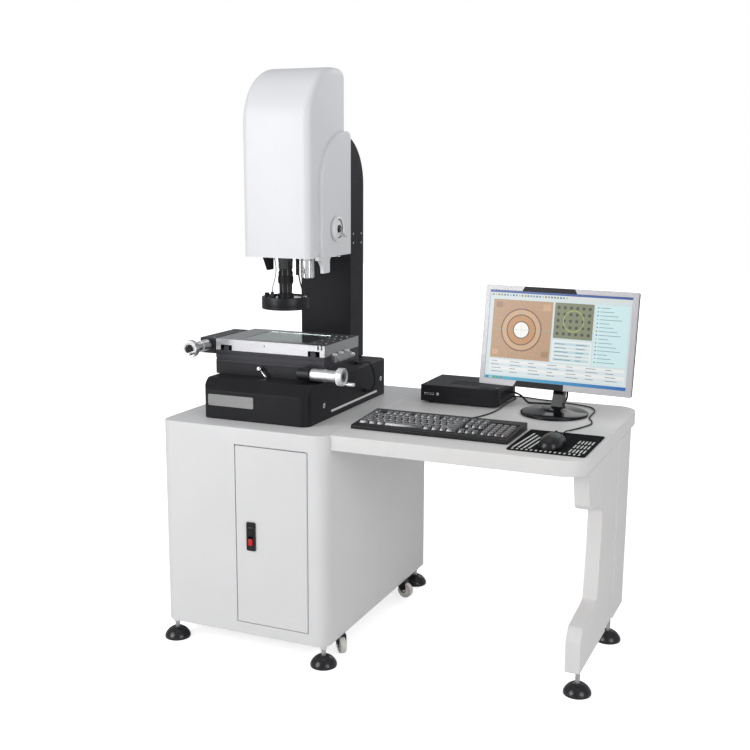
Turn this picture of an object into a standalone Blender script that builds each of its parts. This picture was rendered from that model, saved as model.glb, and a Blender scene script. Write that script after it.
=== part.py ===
"""Vision measuring machine on its workstation: a sheet metal cabinet with a desk wing, a heavy
base and column, a camera head on a Z slide, a hand-driven XY stage, and the PC set beside it.

Metres, +Z up. Every place below is measured in the station frame: its origin lies on the floor
under the cabinet's front left corner, X runs right, Y runs back. The empty "station" carries all
pieces and shifts them so that the world's origin is the middle of the footprint."""
import math

import bmesh
import bpy
from mathutils import Matrix, Vector

GAP = 0.0003                # left between faces that touch
RUNNING = 0.0003            # radial clearance round a pin that turns
ROUND_STEPS = 24            # facets of a large round piece
SMALL_STEPS = 12            # facets of a small round piece

# Cabinet
CABINET_W = 0.526
CABINET_D = 0.743
CABINET_BOTTOM = 0.0585
WORKTOP = 0.6606
CABINET_FRONT_R = 0.035
CABINET_REAR_R = 0.004
SHEET = 0.002

# Door in the cabinet's front, on two pins at its right edge
DOOR_W = 0.229
DOOR_RIGHT = CABINET_W - 0.054
DOOR_LEFT = DOOR_RIGHT - DOOR_W
DOOR_LOW = 0.092
DOOR_TOP = 0.613
DOOR_SLIT = 0.0015
DOOR_THICK = 0.010
JAMB_DEPTH = 0.020
HINGE_PIN_R = 0.003
HINGE_PIN_REACH = 0.010

# Latch on the door
LATCH_X = DOOR_LEFT + 0.051
LATCH_LOW = 0.311
LATCH_TOP = 0.394
LATCH_W = 0.028
LATCH_PROUD = 0.004
LATCH_NECK_W = 0.022
LATCH_NECK_D = 0.0075
LATCH_NECK_END = 0.004
LEVER_W = 0.0154
LEVER_LOW = 0.353
LEVER_TOP = 0.381
LEVER_PROUD = 0.0014
LEVER_PIN_R = 0.0014
BUTTON_W = 0.013
BUTTON_LOW = 0.327
BUTTON_TOP = 0.346
BUTTON_PROUD = 0.0035
BUTTON_LENGTH = 0.0065
BUTTON_TRAVEL = 0.003

# Levelling feet
FOOT_R = 0.0375
FOOT_HEIGHT = 0.022
STUD_R = 0.006
NUT_ACROSS = 0.019
NUT_HEIGHT = 0.008
STUD_REACH = 0.012
FOOT_LEFT = 0.026
FOOT_RIGHT = CABINET_W - 0.017
FOOT_REAR = CABINET_D - 0.035
CABINET_FEET = {"front_left": (FOOT_LEFT, 0.020), "front_right": (FOOT_RIGHT, 0.018),
                "rear_left": (FOOT_LEFT, FOOT_REAR), "rear_right": (FOOT_RIGHT, FOOT_REAR)}

# Casters: swivel place, and the turn of the fork that the photo shows
CASTER_INSET = 0.018
CASTER_FRONT_Y = 0.123
CASTER_REAR_Y = CABINET_D - 0.168
CASTER_TURN = {"front_left": 160, "front_right": 42, "rear_left": 20, "rear_right": 84}
CASTER_TRAIL = 0.022
CASTER_WHEEL_R = 0.024
CASTER_WHEEL_W = 0.019
CASTER_AXLE_Z = 0.028
CASTER_AXLE_R = 0.003
CROWN_THICK = 0.004
FORK_PLATE = 0.0025
FORK_SIDE_GAP = 0.0012
KINGPIN_R = 0.005
SOCKET_WALL = 0.006
SOCKET_HEIGHT = 0.018

# Desk wing
DESK_RIGHT = 1.218
DESK_FRONT = 0.029
DESK_THICK = 0.0425
DESK_CORNER_R = 0.065
LEG_THICK = 0.040
LEG_BOTTOM = 0.087
LEG_FOLD = (0.371, 0.473)
LEG_FOLD_DEPTH = 0.004
LEG_REAR_TOP = CABINET_D - 0.111
LEG_REAR_LOW = CABINET_D - 0.134
LEG_FEET_Y = (0.140, LEG_REAR_LOW - 0.092)
LEG_FRONT_TOP = 0.088
LEG_FRONT_LOW = 0.069
LEG_SHOULDER = ((0.115, 0.514, 0.030), (0.238, 0.493, 0.020), (0.272, 0.470, 0.022))
LEG_NECK = ((0.268, 0.380, 0.120), (0.246, 0.226, 0.014), (0.212, 0.219, 0.010))
LEG_SHOE = ((0.092, 0.206, 0.020), (LEG_FRONT_LOW, 0.176, 0.010))

# Machine base and column
BASE_LEFT = 0.094
BASE_RIGHT = 0.434
BASE_FRONT = 0.076
BASE_REAR = 0.632
BASE_HEIGHT = 0.1137
BASE_CORNER_R = 0.025
BASE_CHAMFER_RUN = 0.036
BASE_CHAMFER_DROP = 0.031
AXIS_X = 0.264              # the machine's middle plane, with the lens axis in it
COLUMN_W = 0.172
COLUMN_FRONT = 0.536
COLUMN_REAR = 0.636
COLUMN_ARC_R = 0.152
COLUMN_ARC_Z = 1.318
COLUMN_EDGE_R = 0.004
CABLE_GLAND_R = 0.006
CABLE_GLAND_OUT = 0.010
BASE_GLAND = (0.455, 0.700)     # middle of the cable's gland in the base's right side

# Z guide: two profiled rails on a plate, and the slide that runs on them
GUIDE_W = 0.120
GUIDE_PLATE = 0.020
GUIDE_LOW = 1.100
GUIDE_TOP = 1.460
RAIL_SPREAD = 0.080
RAIL_W = 0.020
RAIL_WAIST = 0.013
RAIL_HEIGHT = 0.0157
RAIL_PLAY = 0.0004
SLIDE_W = 0.140
SLIDE_D = 0.050
SLIDE_LOW = 1.160
SLIDE_TOP = 1.360
SLIDE_NECK_W = 0.110
CHASSIS_W = 0.188
CHASSIS_FRONT = 0.436
CHASSIS_THICK = 0.012
CHASSIS_TOP = 1.600
SHELF_THICK = 0.008
SHELF_RISE = 0.008
SHELF_FRONT = 0.241
LENS_HOLE_R = 0.0285
CLAMP_W = 0.080
CLAMP_LOW = 1.200
CLAMP_TOP = 1.240
TAB_LEFT = 0.195            # tab that hangs under the shelf at the lens's left
TAB_THICK = 0.004
TAB_FRONT = 0.262
TAB_TOE = 0.285
TAB_REAR = 0.321
TAB_BEND_Z = 1.110
TAB_LOW = 1.072

# Head covers
HOOD_LEFT = 0.154
HOOD_RIGHT = 0.374
HOOD_FRONT = 0.217
HOOD_REAR = 0.457
HOOD_LOW = 1.115
HOOD_TOP = 1.655
HOOD_SWEEP_D = 0.178
HOOD_SWEEP_H = 0.165
HOOD_REAR_R = 0.030
HOOD_EDGE_R = 0.022
HOOD_WALL = 0.003
CHEEK_THICK = 0.0117
CHEEK_FRONT = 0.270
CHEEK_REAR = 0.466
CHEEK_APEX_Y = 0.445
CHEEK_SPRING_Z = 1.320
CHEEK_TOP = 1.476
CHEEK_EDGE_R = 0.008
CHEEK_TAB = 0.045
CHEEK_TAB_FRONT = 0.280
CHEEK_TAB_REAR = 0.320
CHEEK_TAB_ROOT = 0.331
CHEEK_HOLLOW_R = 0.034
CHEEK_HOLLOW_Y = CHEEK_TAB_FRONT - CHEEK_HOLLOW_R
WHEEL_Z = 1.195
WHEEL_Y = 0.357
Z_WHEEL_R = 0.0355
Z_WHEEL_THICK = 0.014
Z_SHAFT_R = 0.008

# Optics on the lens axis
LENS_Y = 0.274
TUBE_LOW = 0.985
TUBE_R = 0.019
ZOOM_CORE_R = 0.018
ZOOM_LOW = 1.0375
ZOOM_TOP = 1.0597
ZOOM_R = 0.0236
LENS_BODY_R = 0.027
LENS_BODY_TOP = 1.300
CAMERA_SIDE = 0.044
CAMERA_LOW = 1.345
CAMERA_HEIGHT = 0.060
RING_R = 0.0704
RING_LOW = 0.964
RING_TOP = 1.000
LAMP_X = 0.322
LAMP_Y = 0.300
LAMP_R = 0.0196
LAMP_LOW = 1.0525
WIRE_R = 0.0018
RING_BOSS_R = 0.005
RING_LEFT_BOSS = (0.238, 0.240, 1.014)      # where each wire enters the ring light
RING_RIGHT_BOSS = (0.318, 0.250, 1.006)

# XY stage in three layers
STAGE_W = 0.354
STAGE_FRONT = 0.168
STAGE_REAR = 0.400
LAYER = 0.0345
LAYER_GAP = 0.0006
GROOVES = ((0.817, 0.822), (0.834, 0.838))      # heights of the grooves in the carriage's front
GROOVE_DEPTH = 0.0025
STAGE_Y = 0.284             # the middle of the stage's windows
WAY_W = 0.016
WAY_HEIGHT = 0.009
WAY_INSET = 0.022
WELL_R = 0.040
WELL_DEPTH = 0.024
CARRIAGE_WINDOW = (0.210, 0.160)
Y_RAIL_W = 0.016
Y_RAIL_RISE = 0.0137
Y_RAIL_INSET = 0.028
TABLE_FRONT = 0.170
TABLE_REAR = 0.398
TABLE_THICK = 0.0324
CHANNEL_W = 0.0375
CHANNEL_INSET = 0.0155
CHANNEL_HEIGHT = 0.0154
TABLE_WINDOW = (0.200, 0.150)
GLASS = (0.210, 0.160, 0.006)
NOSE_R = 0.018
NOSE_Y = 0.1445
NOSE_Z = 0.799
NOSE_LEFT = 0.374
NOSE_RIGHT = 0.4097
X_BARREL_R = 0.015
X_BARREL_END = 0.488
DRIVE_SHAFT_R = 0.005
DRIVE_SHAFT_DEPTH = 0.010
SHAFT_BORE_DEPTH = 0.012
DRIVE_WHEEL_R = 0.025
DRIVE_WHEEL_THICK = 0.0265
CRANK_R = 0.005
CRANK_OUT = 0.031
CRANK_OFFSET = 0.017
X_CRANK_SIDE = (0, 0.1, -0.995)
Y_CRANK_SIDE = (0.9, 0, -0.436)
HOUSING_W = 0.0537
HOUSING_REAR = 0.363
HOUSING_LOW = 0.832
HOUSING_TOP = 0.878
HOUSING_EDGE_R = 0.004
Y_AXIS_X = 0.061
Y_AXIS_Z = 0.858
Y_BARREL_R = 0.0155
Y_BARREL_END = 0.092
LOCK_X = 0.240
LOCK_Z = 0.800
LOCK_BOSS_R = 0.0075
LOCK_REACH = 0.031
LOCK_SHAFT_R = 0.003
LOCK_SHAFT_DEPTH = 0.009
LOCK_BOSS_OUT = 0.021
LOCK_ARM_R = 0.0025
LOCK_TURN = math.radians(42)    # the arm's lean from straight down
READER_THICK = 0.016
READER_FRONT = 0.205
READER_REAR = 0.345
READER_LOW = 0.821
READER_TOP = 0.844
READER_SLEEVE = 0.030
READER_ROD_R = 0.008
READER_TAIL = 0.012
READER_TAIL_R = 0.0055
STAGE_CABLE_R = 0.003
STAGE_GLAND = (0.374, 0.797)
STAGE_GLAND_R = 0.005
STAGE_GLAND_OUT = 0.008

# Things on the desk
PC_LEFT = 0.590
PC_RIGHT = 0.835
PC_FRONT = 0.535
PC_REAR = 0.722
PC_FOOT = 0.006
PC_HEIGHT = 0.0504
PC_CUT = 0.014
PC_FOOT_R = 0.008
PC_FOOT_INSET = 0.025
KEYBOARD_LEFT = 0.543
KEYBOARD_W = 0.450
KEYBOARD_FRONT = 0.1245
KEYBOARD_D = 0.188
KEYBOARD_FRONT_H = 0.011
KEYBOARD_REAR_H = 0.0217
KEY_PITCH = 0.019
KEY_SIZE = 0.0165
KEY_TOP = 0.0125
KEY_HEIGHT = 0.0065
KEY_BED = 0.0015
KEY_WELL = 0.003
KEY_FIELD = (22.6, 6.4)         # the field's width and depth in key pitches
KEY_FIELD_FRONT = 0.030
FUNCTION_ROW = 5.4              # the function keys' row in key pitches
PAD_LEFT = 1.003
PAD_RIGHT = 1.208
PAD_FRONT = 0.076
PAD_REAR = 0.314
PAD_THICK = 0.0027
MOUSE_X = 1.105
MOUSE_Y = 0.155
MOUSE_W = 0.062
MOUSE_L = 0.115
MOUSE_H = 0.033
MONITOR_X = 1.008
MONITOR_Y = 0.5416
MONITOR_TURN = -0.083
MONITOR_LEAN = 0.146
DISC_R = 0.099
DISC_THICK = 0.019
PANEL_W = 0.466
PANEL_H = 0.299
PANEL_THICK = 0.018
PANEL_Z = 0.2171            # height of the panel's middle above the worktop
PANEL_BACK = 0.0265         # the panel's front face, behind the disc's middle
PANEL_SHIFT = -0.010
PIVOT_BACK = 0.050
PIVOT_Z = 0.105
PIVOT_R = 0.010
PIVOT_PIN_R = 0.004
NECK_W = 0.033
NECK_D = 0.020
NECK_FOOT_Y = 0.014
NECK_FOOT_Z = 0.012
NECK_FOOT_D = 0.030
NECK_BEND_Z = 0.080
EAR_W = 0.006
EAR_R = 0.0098
EAR_REACH = 0.030
BULGE_ROOT = (0.150, 0.100)     # half width and half height of the bulge on the panel's back
BULGE_FACE = (0.130, 0.080)
BULGE_RISE = 0.018
CORD_R = 0.0019
COIL_R = 0.019
COIL_THICK_R = 0.0058
COILS = {"keyboard_coil": 0.790, "mouse_coil": 0.700}   # middle of each coil, in X
LEAD_R = 0.003
LEAD_START_Z = 0.092        # where the monitor's lead leaves the neck
LEAD_ON_DESK = ((0.980, 0.661), (0.950, 0.657), (0.920, 0.653), (0.895, 0.656))
LEAD_SOCKET = (0.660, 0.030)    # its socket in the PC's right side: Y, and height over the desk

FOOTPRINT_LEFT = CABINET_FEET["front_left"][0] - FOOT_R
FOOTPRINT_RIGHT = DESK_RIGHT - LEG_THICK / 2 + FOOT_R
FOOTPRINT_FRONT = CABINET_FEET["front_right"][1] - FOOT_R
FOOTPRINT_REAR = CABINET_FEET["rear_left"][1] + FOOT_R

# Heights and places worked out from the sizes above
DESK_UNDER = WORKTOP - DESK_THICK
BASE_LOW = WORKTOP + GAP
BASE_TOP = BASE_LOW + BASE_HEIGHT
STAGE_LEFT = AXIS_X - STAGE_W / 2
STAGE_RIGHT = AXIS_X + STAGE_W / 2
STAGE_LOW = BASE_TOP + GAP
STAGE_TOP = STAGE_LOW + LAYER
CARRIAGE_LOW = STAGE_TOP + LAYER_GAP
CARRIAGE_TOP = CARRIAGE_LOW + LAYER
TABLE_LOW = CARRIAGE_TOP + GAP
TABLE_TOP = TABLE_LOW + TABLE_THICK
GUIDE_REAR = COLUMN_FRONT - GAP
GUIDE_FRONT = GUIDE_REAR - GUIDE_PLATE
RAIL_FRONT = GUIDE_FRONT - RAIL_HEIGHT
SLIDE_REAR = GUIDE_FRONT - 0.0035
SLIDE_FRONT = SLIDE_REAR - SLIDE_D
SHELF_LOW = HOOD_LOW + SHELF_RISE
HINGE_X = DOOR_RIGHT - DOOR_SLIT - DOOR_THICK / 2
HINGE_Y = DOOR_THICK / 2
CABINET_STUD_TOP = CABINET_BOTTOM + STUD_REACH
LEG_STUD_TOP = LEG_BOTTOM + STUD_REACH
CHEEK_INNER = HOOD_RIGHT + GAP
CHEEK_OUTER = CHEEK_INNER + CHEEK_THICK
CORD_Z = WORKTOP + 2 * GAP + CORD_R

# Looks: colour, roughness and metallic value
WHITE_PAINT = ((0.80, 0.80, 0.81), 0.35, 0.0)
BLACK_PAINT = ((0.025, 0.025, 0.028), 0.45, 0.0)
BLACK_PLASTIC = ((0.018, 0.018, 0.020), 0.50, 0.0)
RUBBER = ((0.020, 0.020, 0.021), 0.75, 0.0)
SILVER = ((0.72, 0.72, 0.73), 0.30, 1.0)
CHROME = ((0.80, 0.80, 0.81), 0.12, 1.0)
GREY_PLASTIC = ((0.45, 0.45, 0.46), 0.45, 0.0)
RED_PLASTIC = ((0.55, 0.02, 0.02), 0.40, 0.0)
NYLON = ((0.75, 0.74, 0.69), 0.45, 0.0)
GLASS_LOOK = ((0.60, 0.72, 0.70), 0.05, 0.0)
CLOTH = ((0.020, 0.020, 0.022), 0.90, 0.0)


def rounded(corners, steps=4):
    """Outline through corners (u, v, radius), each corner an arc of its radius."""
    outline = []
    for index, (u, v, radius) in enumerate(corners):
        corner = Vector((u, v))
        if radius == 0:
            outline.append(corner)
            continue
        before = (Vector(corners[index - 1][:2]) - corner).normalized()
        after = (Vector(corners[(index + 1) % len(corners)][:2]) - corner).normalized()
        half = before.angle(after) / 2
        centre = corner + (before + after).normalized() * radius / math.sin(half)
        first = corner + before * radius / math.tan(half) - centre
        last = corner + after * radius / math.tan(half) - centre
        outline += arc(centre, radius, math.atan2(first.y, first.x),
                       math.atan2(last.y, last.x), steps)
    return outline


def arc(centre, radius, start, end, steps):
    """Points of the shorter arc from the start angle to the end angle."""
    sweep = (end - start + math.pi) % (2 * math.pi) - math.pi
    angles = [start + sweep * step / steps for step in range(steps + 1)]
    return [Vector((centre[0] + radius * math.cos(a), centre[1] + radius * math.sin(a)))
            for a in angles]


def ellipse(centre, across, up, start, end, steps):
    """Points of an ellipse from the start angle to the end angle."""
    angles = [start + (end - start) * step / steps for step in range(steps + 1)]
    return [Vector((centre[0] + across * math.cos(a), centre[1] + up * math.sin(a)))
            for a in angles]


def loft(rings):
    """Closed body through rings of points, with a flat face on its first and last ring."""
    mesh = bmesh.new()
    loops = [[mesh.verts.new(point) for point in ring] for ring in rings]
    count = len(loops[0])
    for near, far in zip(loops, loops[1:]):
        for index in range(count):
            after = (index + 1) % count
            mesh.faces.new((near[index], near[after], far[after], far[index]))
    mesh.faces.new(loops[0])
    mesh.faces.new(loops[-1])
    bmesh.ops.recalc_face_normals(mesh, faces=mesh.faces)
    return mesh


def prism(outline, axis, low, high):
    """Outline extruded along an axis: (y, z) along X, (x, z) along Y, (x, y) along Z."""
    place = {"X": lambda u, v, w: (w, u, v), "Y": lambda u, v, w: (u, w, v),
             "Z": lambda u, v, w: (u, v, w)}[axis]
    return loft([[place(u, v, w) for u, v in outline] for w in (low, high)])


def box(low, high):
    """Box between two corners."""
    (left, front, under), (right, rear, over) = low, high
    return prism([(left, front), (right, front), (right, rear), (left, rear)], "Z", under, over)


def turned(profile, steps=ROUND_STEPS, hollow=False):
    """Profile (radius, height) turned about Z; a hollow one closes on itself."""
    mesh = bmesh.new()
    rings = []
    for radius, height in profile:
        if radius == 0:
            rings.append([mesh.verts.new((0, 0, height))] * steps)
            continue
        turns = [2 * math.pi * step / steps for step in range(steps)]
        rings.append([mesh.verts.new((radius * math.cos(a), radius * math.sin(a), height))
                      for a in turns])
    pairs = list(zip(rings, rings[1:]))
    if hollow:
        pairs.append((rings[-1], rings[0]))
    for near, far in pairs:
        for index in range(steps):
            after = (index + 1) % steps
            corners = [near[index], near[after], far[after], far[index]]
            corners = [corner for order, corner in enumerate(corners)
                       if corner not in corners[:order]]
            mesh.faces.new(corners)
    bmesh.ops.recalc_face_normals(mesh, faces=mesh.faces)
    return mesh


def moved(mesh, place, axis=(0, 0, 1)):
    """Mesh made about Z, aimed along an axis and put at its place."""
    aim = Vector((0, 0, 1)).rotation_difference(Vector(axis)).to_matrix().to_4x4()
    mesh.transform(Matrix.Translation(place) @ aim)
    return mesh


def rod(radius, start, end, steps=SMALL_STEPS):
    """Round bar between two points."""
    start = Vector(start)
    run = Vector(end) - start
    bar = turned([(0, 0), (radius, 0), (radius, run.length), (0, run.length)], steps)
    return moved(bar, start, run.normalized())


def round_edges(mesh, radius, chosen, segments=3):
    """Round the edges whose two ends are both among the chosen vertices."""
    edges = [edge for edge in mesh.edges if all(chosen(vert.co) for vert in edge.verts)]
    bmesh.ops.bevel(mesh, geom=edges, offset=radius, segments=segments, profile=0.5,
                    affect="EDGES", clamp_overlap=True)
    return mesh


def material(name, look):
    """Principled material of one piece."""
    colour, roughness, metallic = look
    paint = bpy.data.materials.new(name)
    paint.use_nodes = True
    shader = paint.node_tree.nodes["Principled BSDF"]
    shader.inputs["Base Color"].default_value = (*colour, 1.0)
    shader.inputs["Roughness"].default_value = roughness
    shader.inputs["Metallic"].default_value = metallic
    paint.diffuse_color = (*colour, 1.0)
    return paint


def linked(name, mesh, pivot, parent):
    """Object for a mesh, with its origin at the pivot."""
    data = bpy.data.meshes.new(name)
    mesh.transform(Matrix.Translation(-Vector(pivot)))
    mesh.to_mesh(data)
    mesh.free()
    piece = bpy.data.objects.new(name, data)
    bpy.context.scene.collection.objects.link(piece)
    piece.parent = parent
    piece.location = pivot
    return piece


def solid(name, mesh, look, pivot=(0, 0, 0), parent=None):
    """Named piece from a mesh, shaded smooth between its edges."""
    piece = linked(name, mesh, pivot, parent or STATION)
    piece.data.materials.append(material(name, look))
    piece.data.shade_smooth()
    piece.data.set_sharp_from_angle(angle=math.radians(32))
    return piece


def combine(piece, mesh, operation):
    """Boolean of a piece with a hidden tool that shares its frame."""
    tool = linked(piece.name + ".tool", mesh, piece.location, piece.parent)
    tool.hide_render = True
    tool.display_type = "WIRE"
    step = piece.modifiers.new(operation.lower(), "BOOLEAN")
    step.operation = operation
    step.solver = "EXACT"
    step.object = tool


def cut(piece, mesh):
    combine(piece, mesh, "DIFFERENCE")


def join(piece, mesh):
    combine(piece, mesh, "UNION")


def empty(name, place, turn=0.0, parent=None):
    """Empty that carries pieces made in its own frame."""
    carrier = bpy.data.objects.new(name, None)
    bpy.context.scene.collection.objects.link(carrier)
    carrier.location = place
    carrier.rotation_euler.z = turn
    carrier.parent = parent
    return carrier


def smooth_route(points, step):
    """Evenly spaced points of a smooth curve through a route's own points."""
    ends = [Vector(points[0]) * 2 - Vector(points[1]), Vector(points[-1]) * 2 - Vector(points[-2])]
    route = [ends[0]] + [Vector(point) for point in points] + [ends[1]]
    fine = []
    for a, b, c, d in zip(route, route[1:], route[2:], route[3:]):
        for part in range(24):
            t = part / 24
            fine.append(0.5 * (2 * b + (c - a) * t + (2 * a - 5 * b + 4 * c - d) * t ** 2
                               + (3 * b - a - 3 * c + d) * t ** 3))
    fine.append(route[-2])
    lengths = [0.0]
    for near, far in zip(fine, fine[1:]):
        lengths.append(lengths[-1] + (far - near).length)
    count = max(2, round(lengths[-1] / step))
    even = []
    index = 0
    for stop in range(count + 1):
        target = lengths[-1] * stop / count
        while index < len(fine) - 2 and lengths[index + 1] < target:
            index += 1
        share = (target - lengths[index]) / (lengths[index + 1] - lengths[index])
        even.append(fine[index].lerp(fine[index + 1], min(1.0, share)))
    return even


def cord(name, points, radius, look, step):
    """Round cord along a route."""
    curve = bpy.data.curves.new(name, "CURVE")
    curve.dimensions = "3D"
    curve.bevel_depth = radius
    curve.bevel_resolution = 1
    curve.use_fill_caps = True
    spline = curve.splines.new("POLY")
    route = smooth_route(points, step)
    spline.points.add(len(route) - 1)
    for point, place in zip(spline.points, route):
        point.co = (*place, 1.0)
    piece = bpy.data.objects.new(name, curve)
    bpy.context.scene.collection.objects.link(piece)
    piece.parent = STATION
    curve.materials.append(material(name, look))


def cabinet_outline(inset):
    """Plan of the cabinet, rounded at the front, set in by the sheet's thickness or not."""
    low = inset
    front_r = CABINET_FRONT_R - inset
    rear_r = CABINET_REAR_R - inset
    return rounded([(low, low, front_r), (CABINET_W - low, low, front_r),
                    (CABINET_W - low, CABINET_D - low, rear_r), (low, CABINET_D - low, rear_r)])


def caster_places():
    """Swivel axis of each caster under the cabinet."""
    sides = {"left": CASTER_INSET, "right": CABINET_W - CASTER_INSET}
    ends = {"front": CASTER_FRONT_Y, "rear": CASTER_REAR_Y}
    return {f"{end}_{side}": (x, y) for end, y in ends.items() for side, x in sides.items()}


def cabinet_shell():
    """Folded sheet box with a door jamb, hinge pins and the casters' sockets."""
    shell = solid("cabinet_shell", prism(cabinet_outline(0), "Z", CABINET_BOTTOM, WORKTOP),
                  WHITE_PAINT)
    cut(shell, prism(cabinet_outline(SHEET), "Z", CABINET_BOTTOM + SHEET, WORKTOP - SHEET))
    join(shell, box((DOOR_LEFT - SHEET, SHEET / 2, DOOR_LOW - SHEET),
                    (DOOR_RIGHT + SHEET, JAMB_DEPTH, DOOR_TOP + SHEET)))
    cut(shell, box((DOOR_LEFT, -SHEET, DOOR_LOW), (DOOR_RIGHT, JAMB_DEPTH + SHEET, DOOR_TOP)))
    reach = DOOR_SLIT + HINGE_PIN_REACH
    for root, tip in ((DOOR_LOW - SHEET / 2, DOOR_LOW + reach), (DOOR_TOP + SHEET / 2, DOOR_TOP - reach)):
        join(shell, rod(HINGE_PIN_R, (HINGE_X, HINGE_Y, root), (HINGE_X, HINGE_Y, tip), 12))
    for x, y in caster_places().values():
        top = CABINET_BOTTOM + SOCKET_HEIGHT
        join(shell, rod(KINGPIN_R + SOCKET_WALL, (x, y, CABINET_BOTTOM + SHEET / 2), (x, y, top), 10))
        cut(shell, rod(KINGPIN_R + RUNNING, (x, y, CABINET_BOTTOM - SHEET), (x, y, top - SHEET), 10))
    for x, y in CABINET_FEET.values():
        cut(shell, rod(STUD_R + GAP, (x, y, CABINET_BOTTOM - SHEET),
                       (x, y, CABINET_BOTTOM + 2 * SHEET), 10))


def cabinet_door():
    """Folded door with a rounded hinge edge, bored for the shell's pins."""
    left = DOOR_LEFT + DOOR_SLIT
    right = DOOR_RIGHT - DOOR_SLIT
    low = DOOR_LOW + DOOR_SLIT
    top = DOOR_TOP - DOOR_SLIT
    hinge_r = DOOR_THICK / 2 - 0.00001
    outline = rounded([(left, 0, 0.001), (right, 0, hinge_r), (right, DOOR_THICK, hinge_r),
                       (left, DOOR_THICK, 0.001)])
    door = solid("cabinet_door", prism(outline, "Z", low, top), WHITE_PAINT,
                 pivot=(HINGE_X, HINGE_Y, low))
    deep = HINGE_PIN_REACH + GAP
    for root, tip in ((low - SHEET, low + deep), (top + SHEET, top - deep)):
        cut(door, rod(HINGE_PIN_R + RUNNING, (HINGE_X, HINGE_Y, root), (HINGE_X, HINGE_Y, tip), 12))
    half = LATCH_NECK_W / 2 + GAP
    end = LATCH_NECK_END - GAP
    cut(door, box((LATCH_X - half, -SHEET, LATCH_LOW + end),
                  (LATCH_X + half, LATCH_NECK_D + GAP, LATCH_TOP - end)))


def latch():
    """Latch set in the door: housing, swing lever and push button."""
    front = -LATCH_PROUD - GAP
    half = LATCH_W / 2
    flange = prism(rounded([(LATCH_X - half, LATCH_LOW, 0.003), (LATCH_X + half, LATCH_LOW, 0.003),
                            (LATCH_X + half, LATCH_TOP, 0.003), (LATCH_X - half, LATCH_TOP, 0.003)]),
                   "Y", front, -GAP)
    housing = solid("latch_housing", flange, BLACK_PLASTIC)
    neck = LATCH_NECK_W / 2
    join(housing, box((LATCH_X - neck, -LATCH_PROUD / 2, LATCH_LOW + LATCH_NECK_END),
                      (LATCH_X + neck, LATCH_NECK_D, LATCH_TOP - LATCH_NECK_END)))
    lever_half = LEVER_W / 2
    well = lever_half + GAP
    cut(housing, box((LATCH_X - well, front - SHEET, LEVER_LOW - 0.006),
                     (LATCH_X + well, LATCH_NECK_D - SHEET, LEVER_TOP + GAP)))
    button_well = BUTTON_W / 2 + GAP
    button_rear = front - BUTTON_PROUD + BUTTON_LENGTH
    cut(housing, box((LATCH_X - button_well, front - SHEET, BUTTON_LOW - GAP),
                     (LATCH_X + button_well, button_rear + BUTTON_TRAVEL + GAP, BUTTON_TOP + GAP)))
    pin = (LATCH_X, -LATCH_PROUD / 2, LEVER_TOP - 0.004)
    pin_reach = lever_half + 0.0014
    cut(housing, rod(LEVER_PIN_R + RUNNING, (pin[0] - pin_reach - GAP, *pin[1:]),
                     (pin[0] + pin_reach + GAP, *pin[1:]), 12))

    lever_front = front - LEVER_PROUD
    side = rounded([(lever_front, LEVER_LOW, 0.001), (pin[1] + 0.0015, LEVER_LOW, 0.001),
                    (pin[1] + 0.0035, LEVER_TOP, 0.003), (lever_front, LEVER_TOP, 0.003)], 4)
    lever = solid("latch_lever", prism(side, "X", LATCH_X - lever_half, LATCH_X + lever_half),
                  GREY_PLASTIC, pivot=pin)
    join(lever, rod(LEVER_PIN_R, (pin[0] - pin_reach, *pin[1:]), (pin[0] + pin_reach, *pin[1:]), 12))

    button_half = BUTTON_W / 2
    face = rounded([(LATCH_X - button_half, BUTTON_LOW, 0.002), (LATCH_X + button_half, BUTTON_LOW, 0.002),
                    (LATCH_X + button_half, BUTTON_TOP, 0.002), (LATCH_X - button_half, BUTTON_TOP, 0.002)])
    button_front = front - BUTTON_PROUD
    key = prism(face, "Y", button_front, button_rear)
    round_edges(key, 0.001, lambda place: place.y < button_front + GAP, 2)
    solid("latch_button", key, RED_PLASTIC, pivot=(LATCH_X, button_front, (BUTTON_LOW + BUTTON_TOP) / 2))


def foot(name, x, y, under, stud_top):
    """Levelling foot: dished pad, stud and the lock nut under the frame."""
    profile = [(0, 0), (FOOT_R - 0.002, 0), (FOOT_R, 0.005), (0.031, 0.012), (0.010, FOOT_HEIGHT),
               (STUD_R, FOOT_HEIGHT), (STUD_R, stud_top), (0, stud_top)]
    pad = solid(name, moved(turned(profile, 16), (x, y, 0)), RUBBER, pivot=(x, y, 0))
    corner = NUT_ACROSS / math.sqrt(3)
    hexagon = [(x + corner * math.cos(math.radians(turn)), y + corner * math.sin(math.radians(turn)))
               for turn in range(0, 360, 60)]
    nut_top = under - GAP
    join(pad, prism(hexagon, "Z", nut_top - NUT_HEIGHT, nut_top))


def feet():
    for corner, (x, y) in CABINET_FEET.items():
        foot("foot_cabinet_" + corner, x, y, CABINET_BOTTOM, CABINET_STUD_TOP)
    leg_middle = DESK_RIGHT - LEG_THICK / 2
    for end, y in zip(("front", "rear"), LEG_FEET_Y):
        foot("foot_desk_" + end, leg_middle, y, LEG_BOTTOM, LEG_STUD_TOP)


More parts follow.
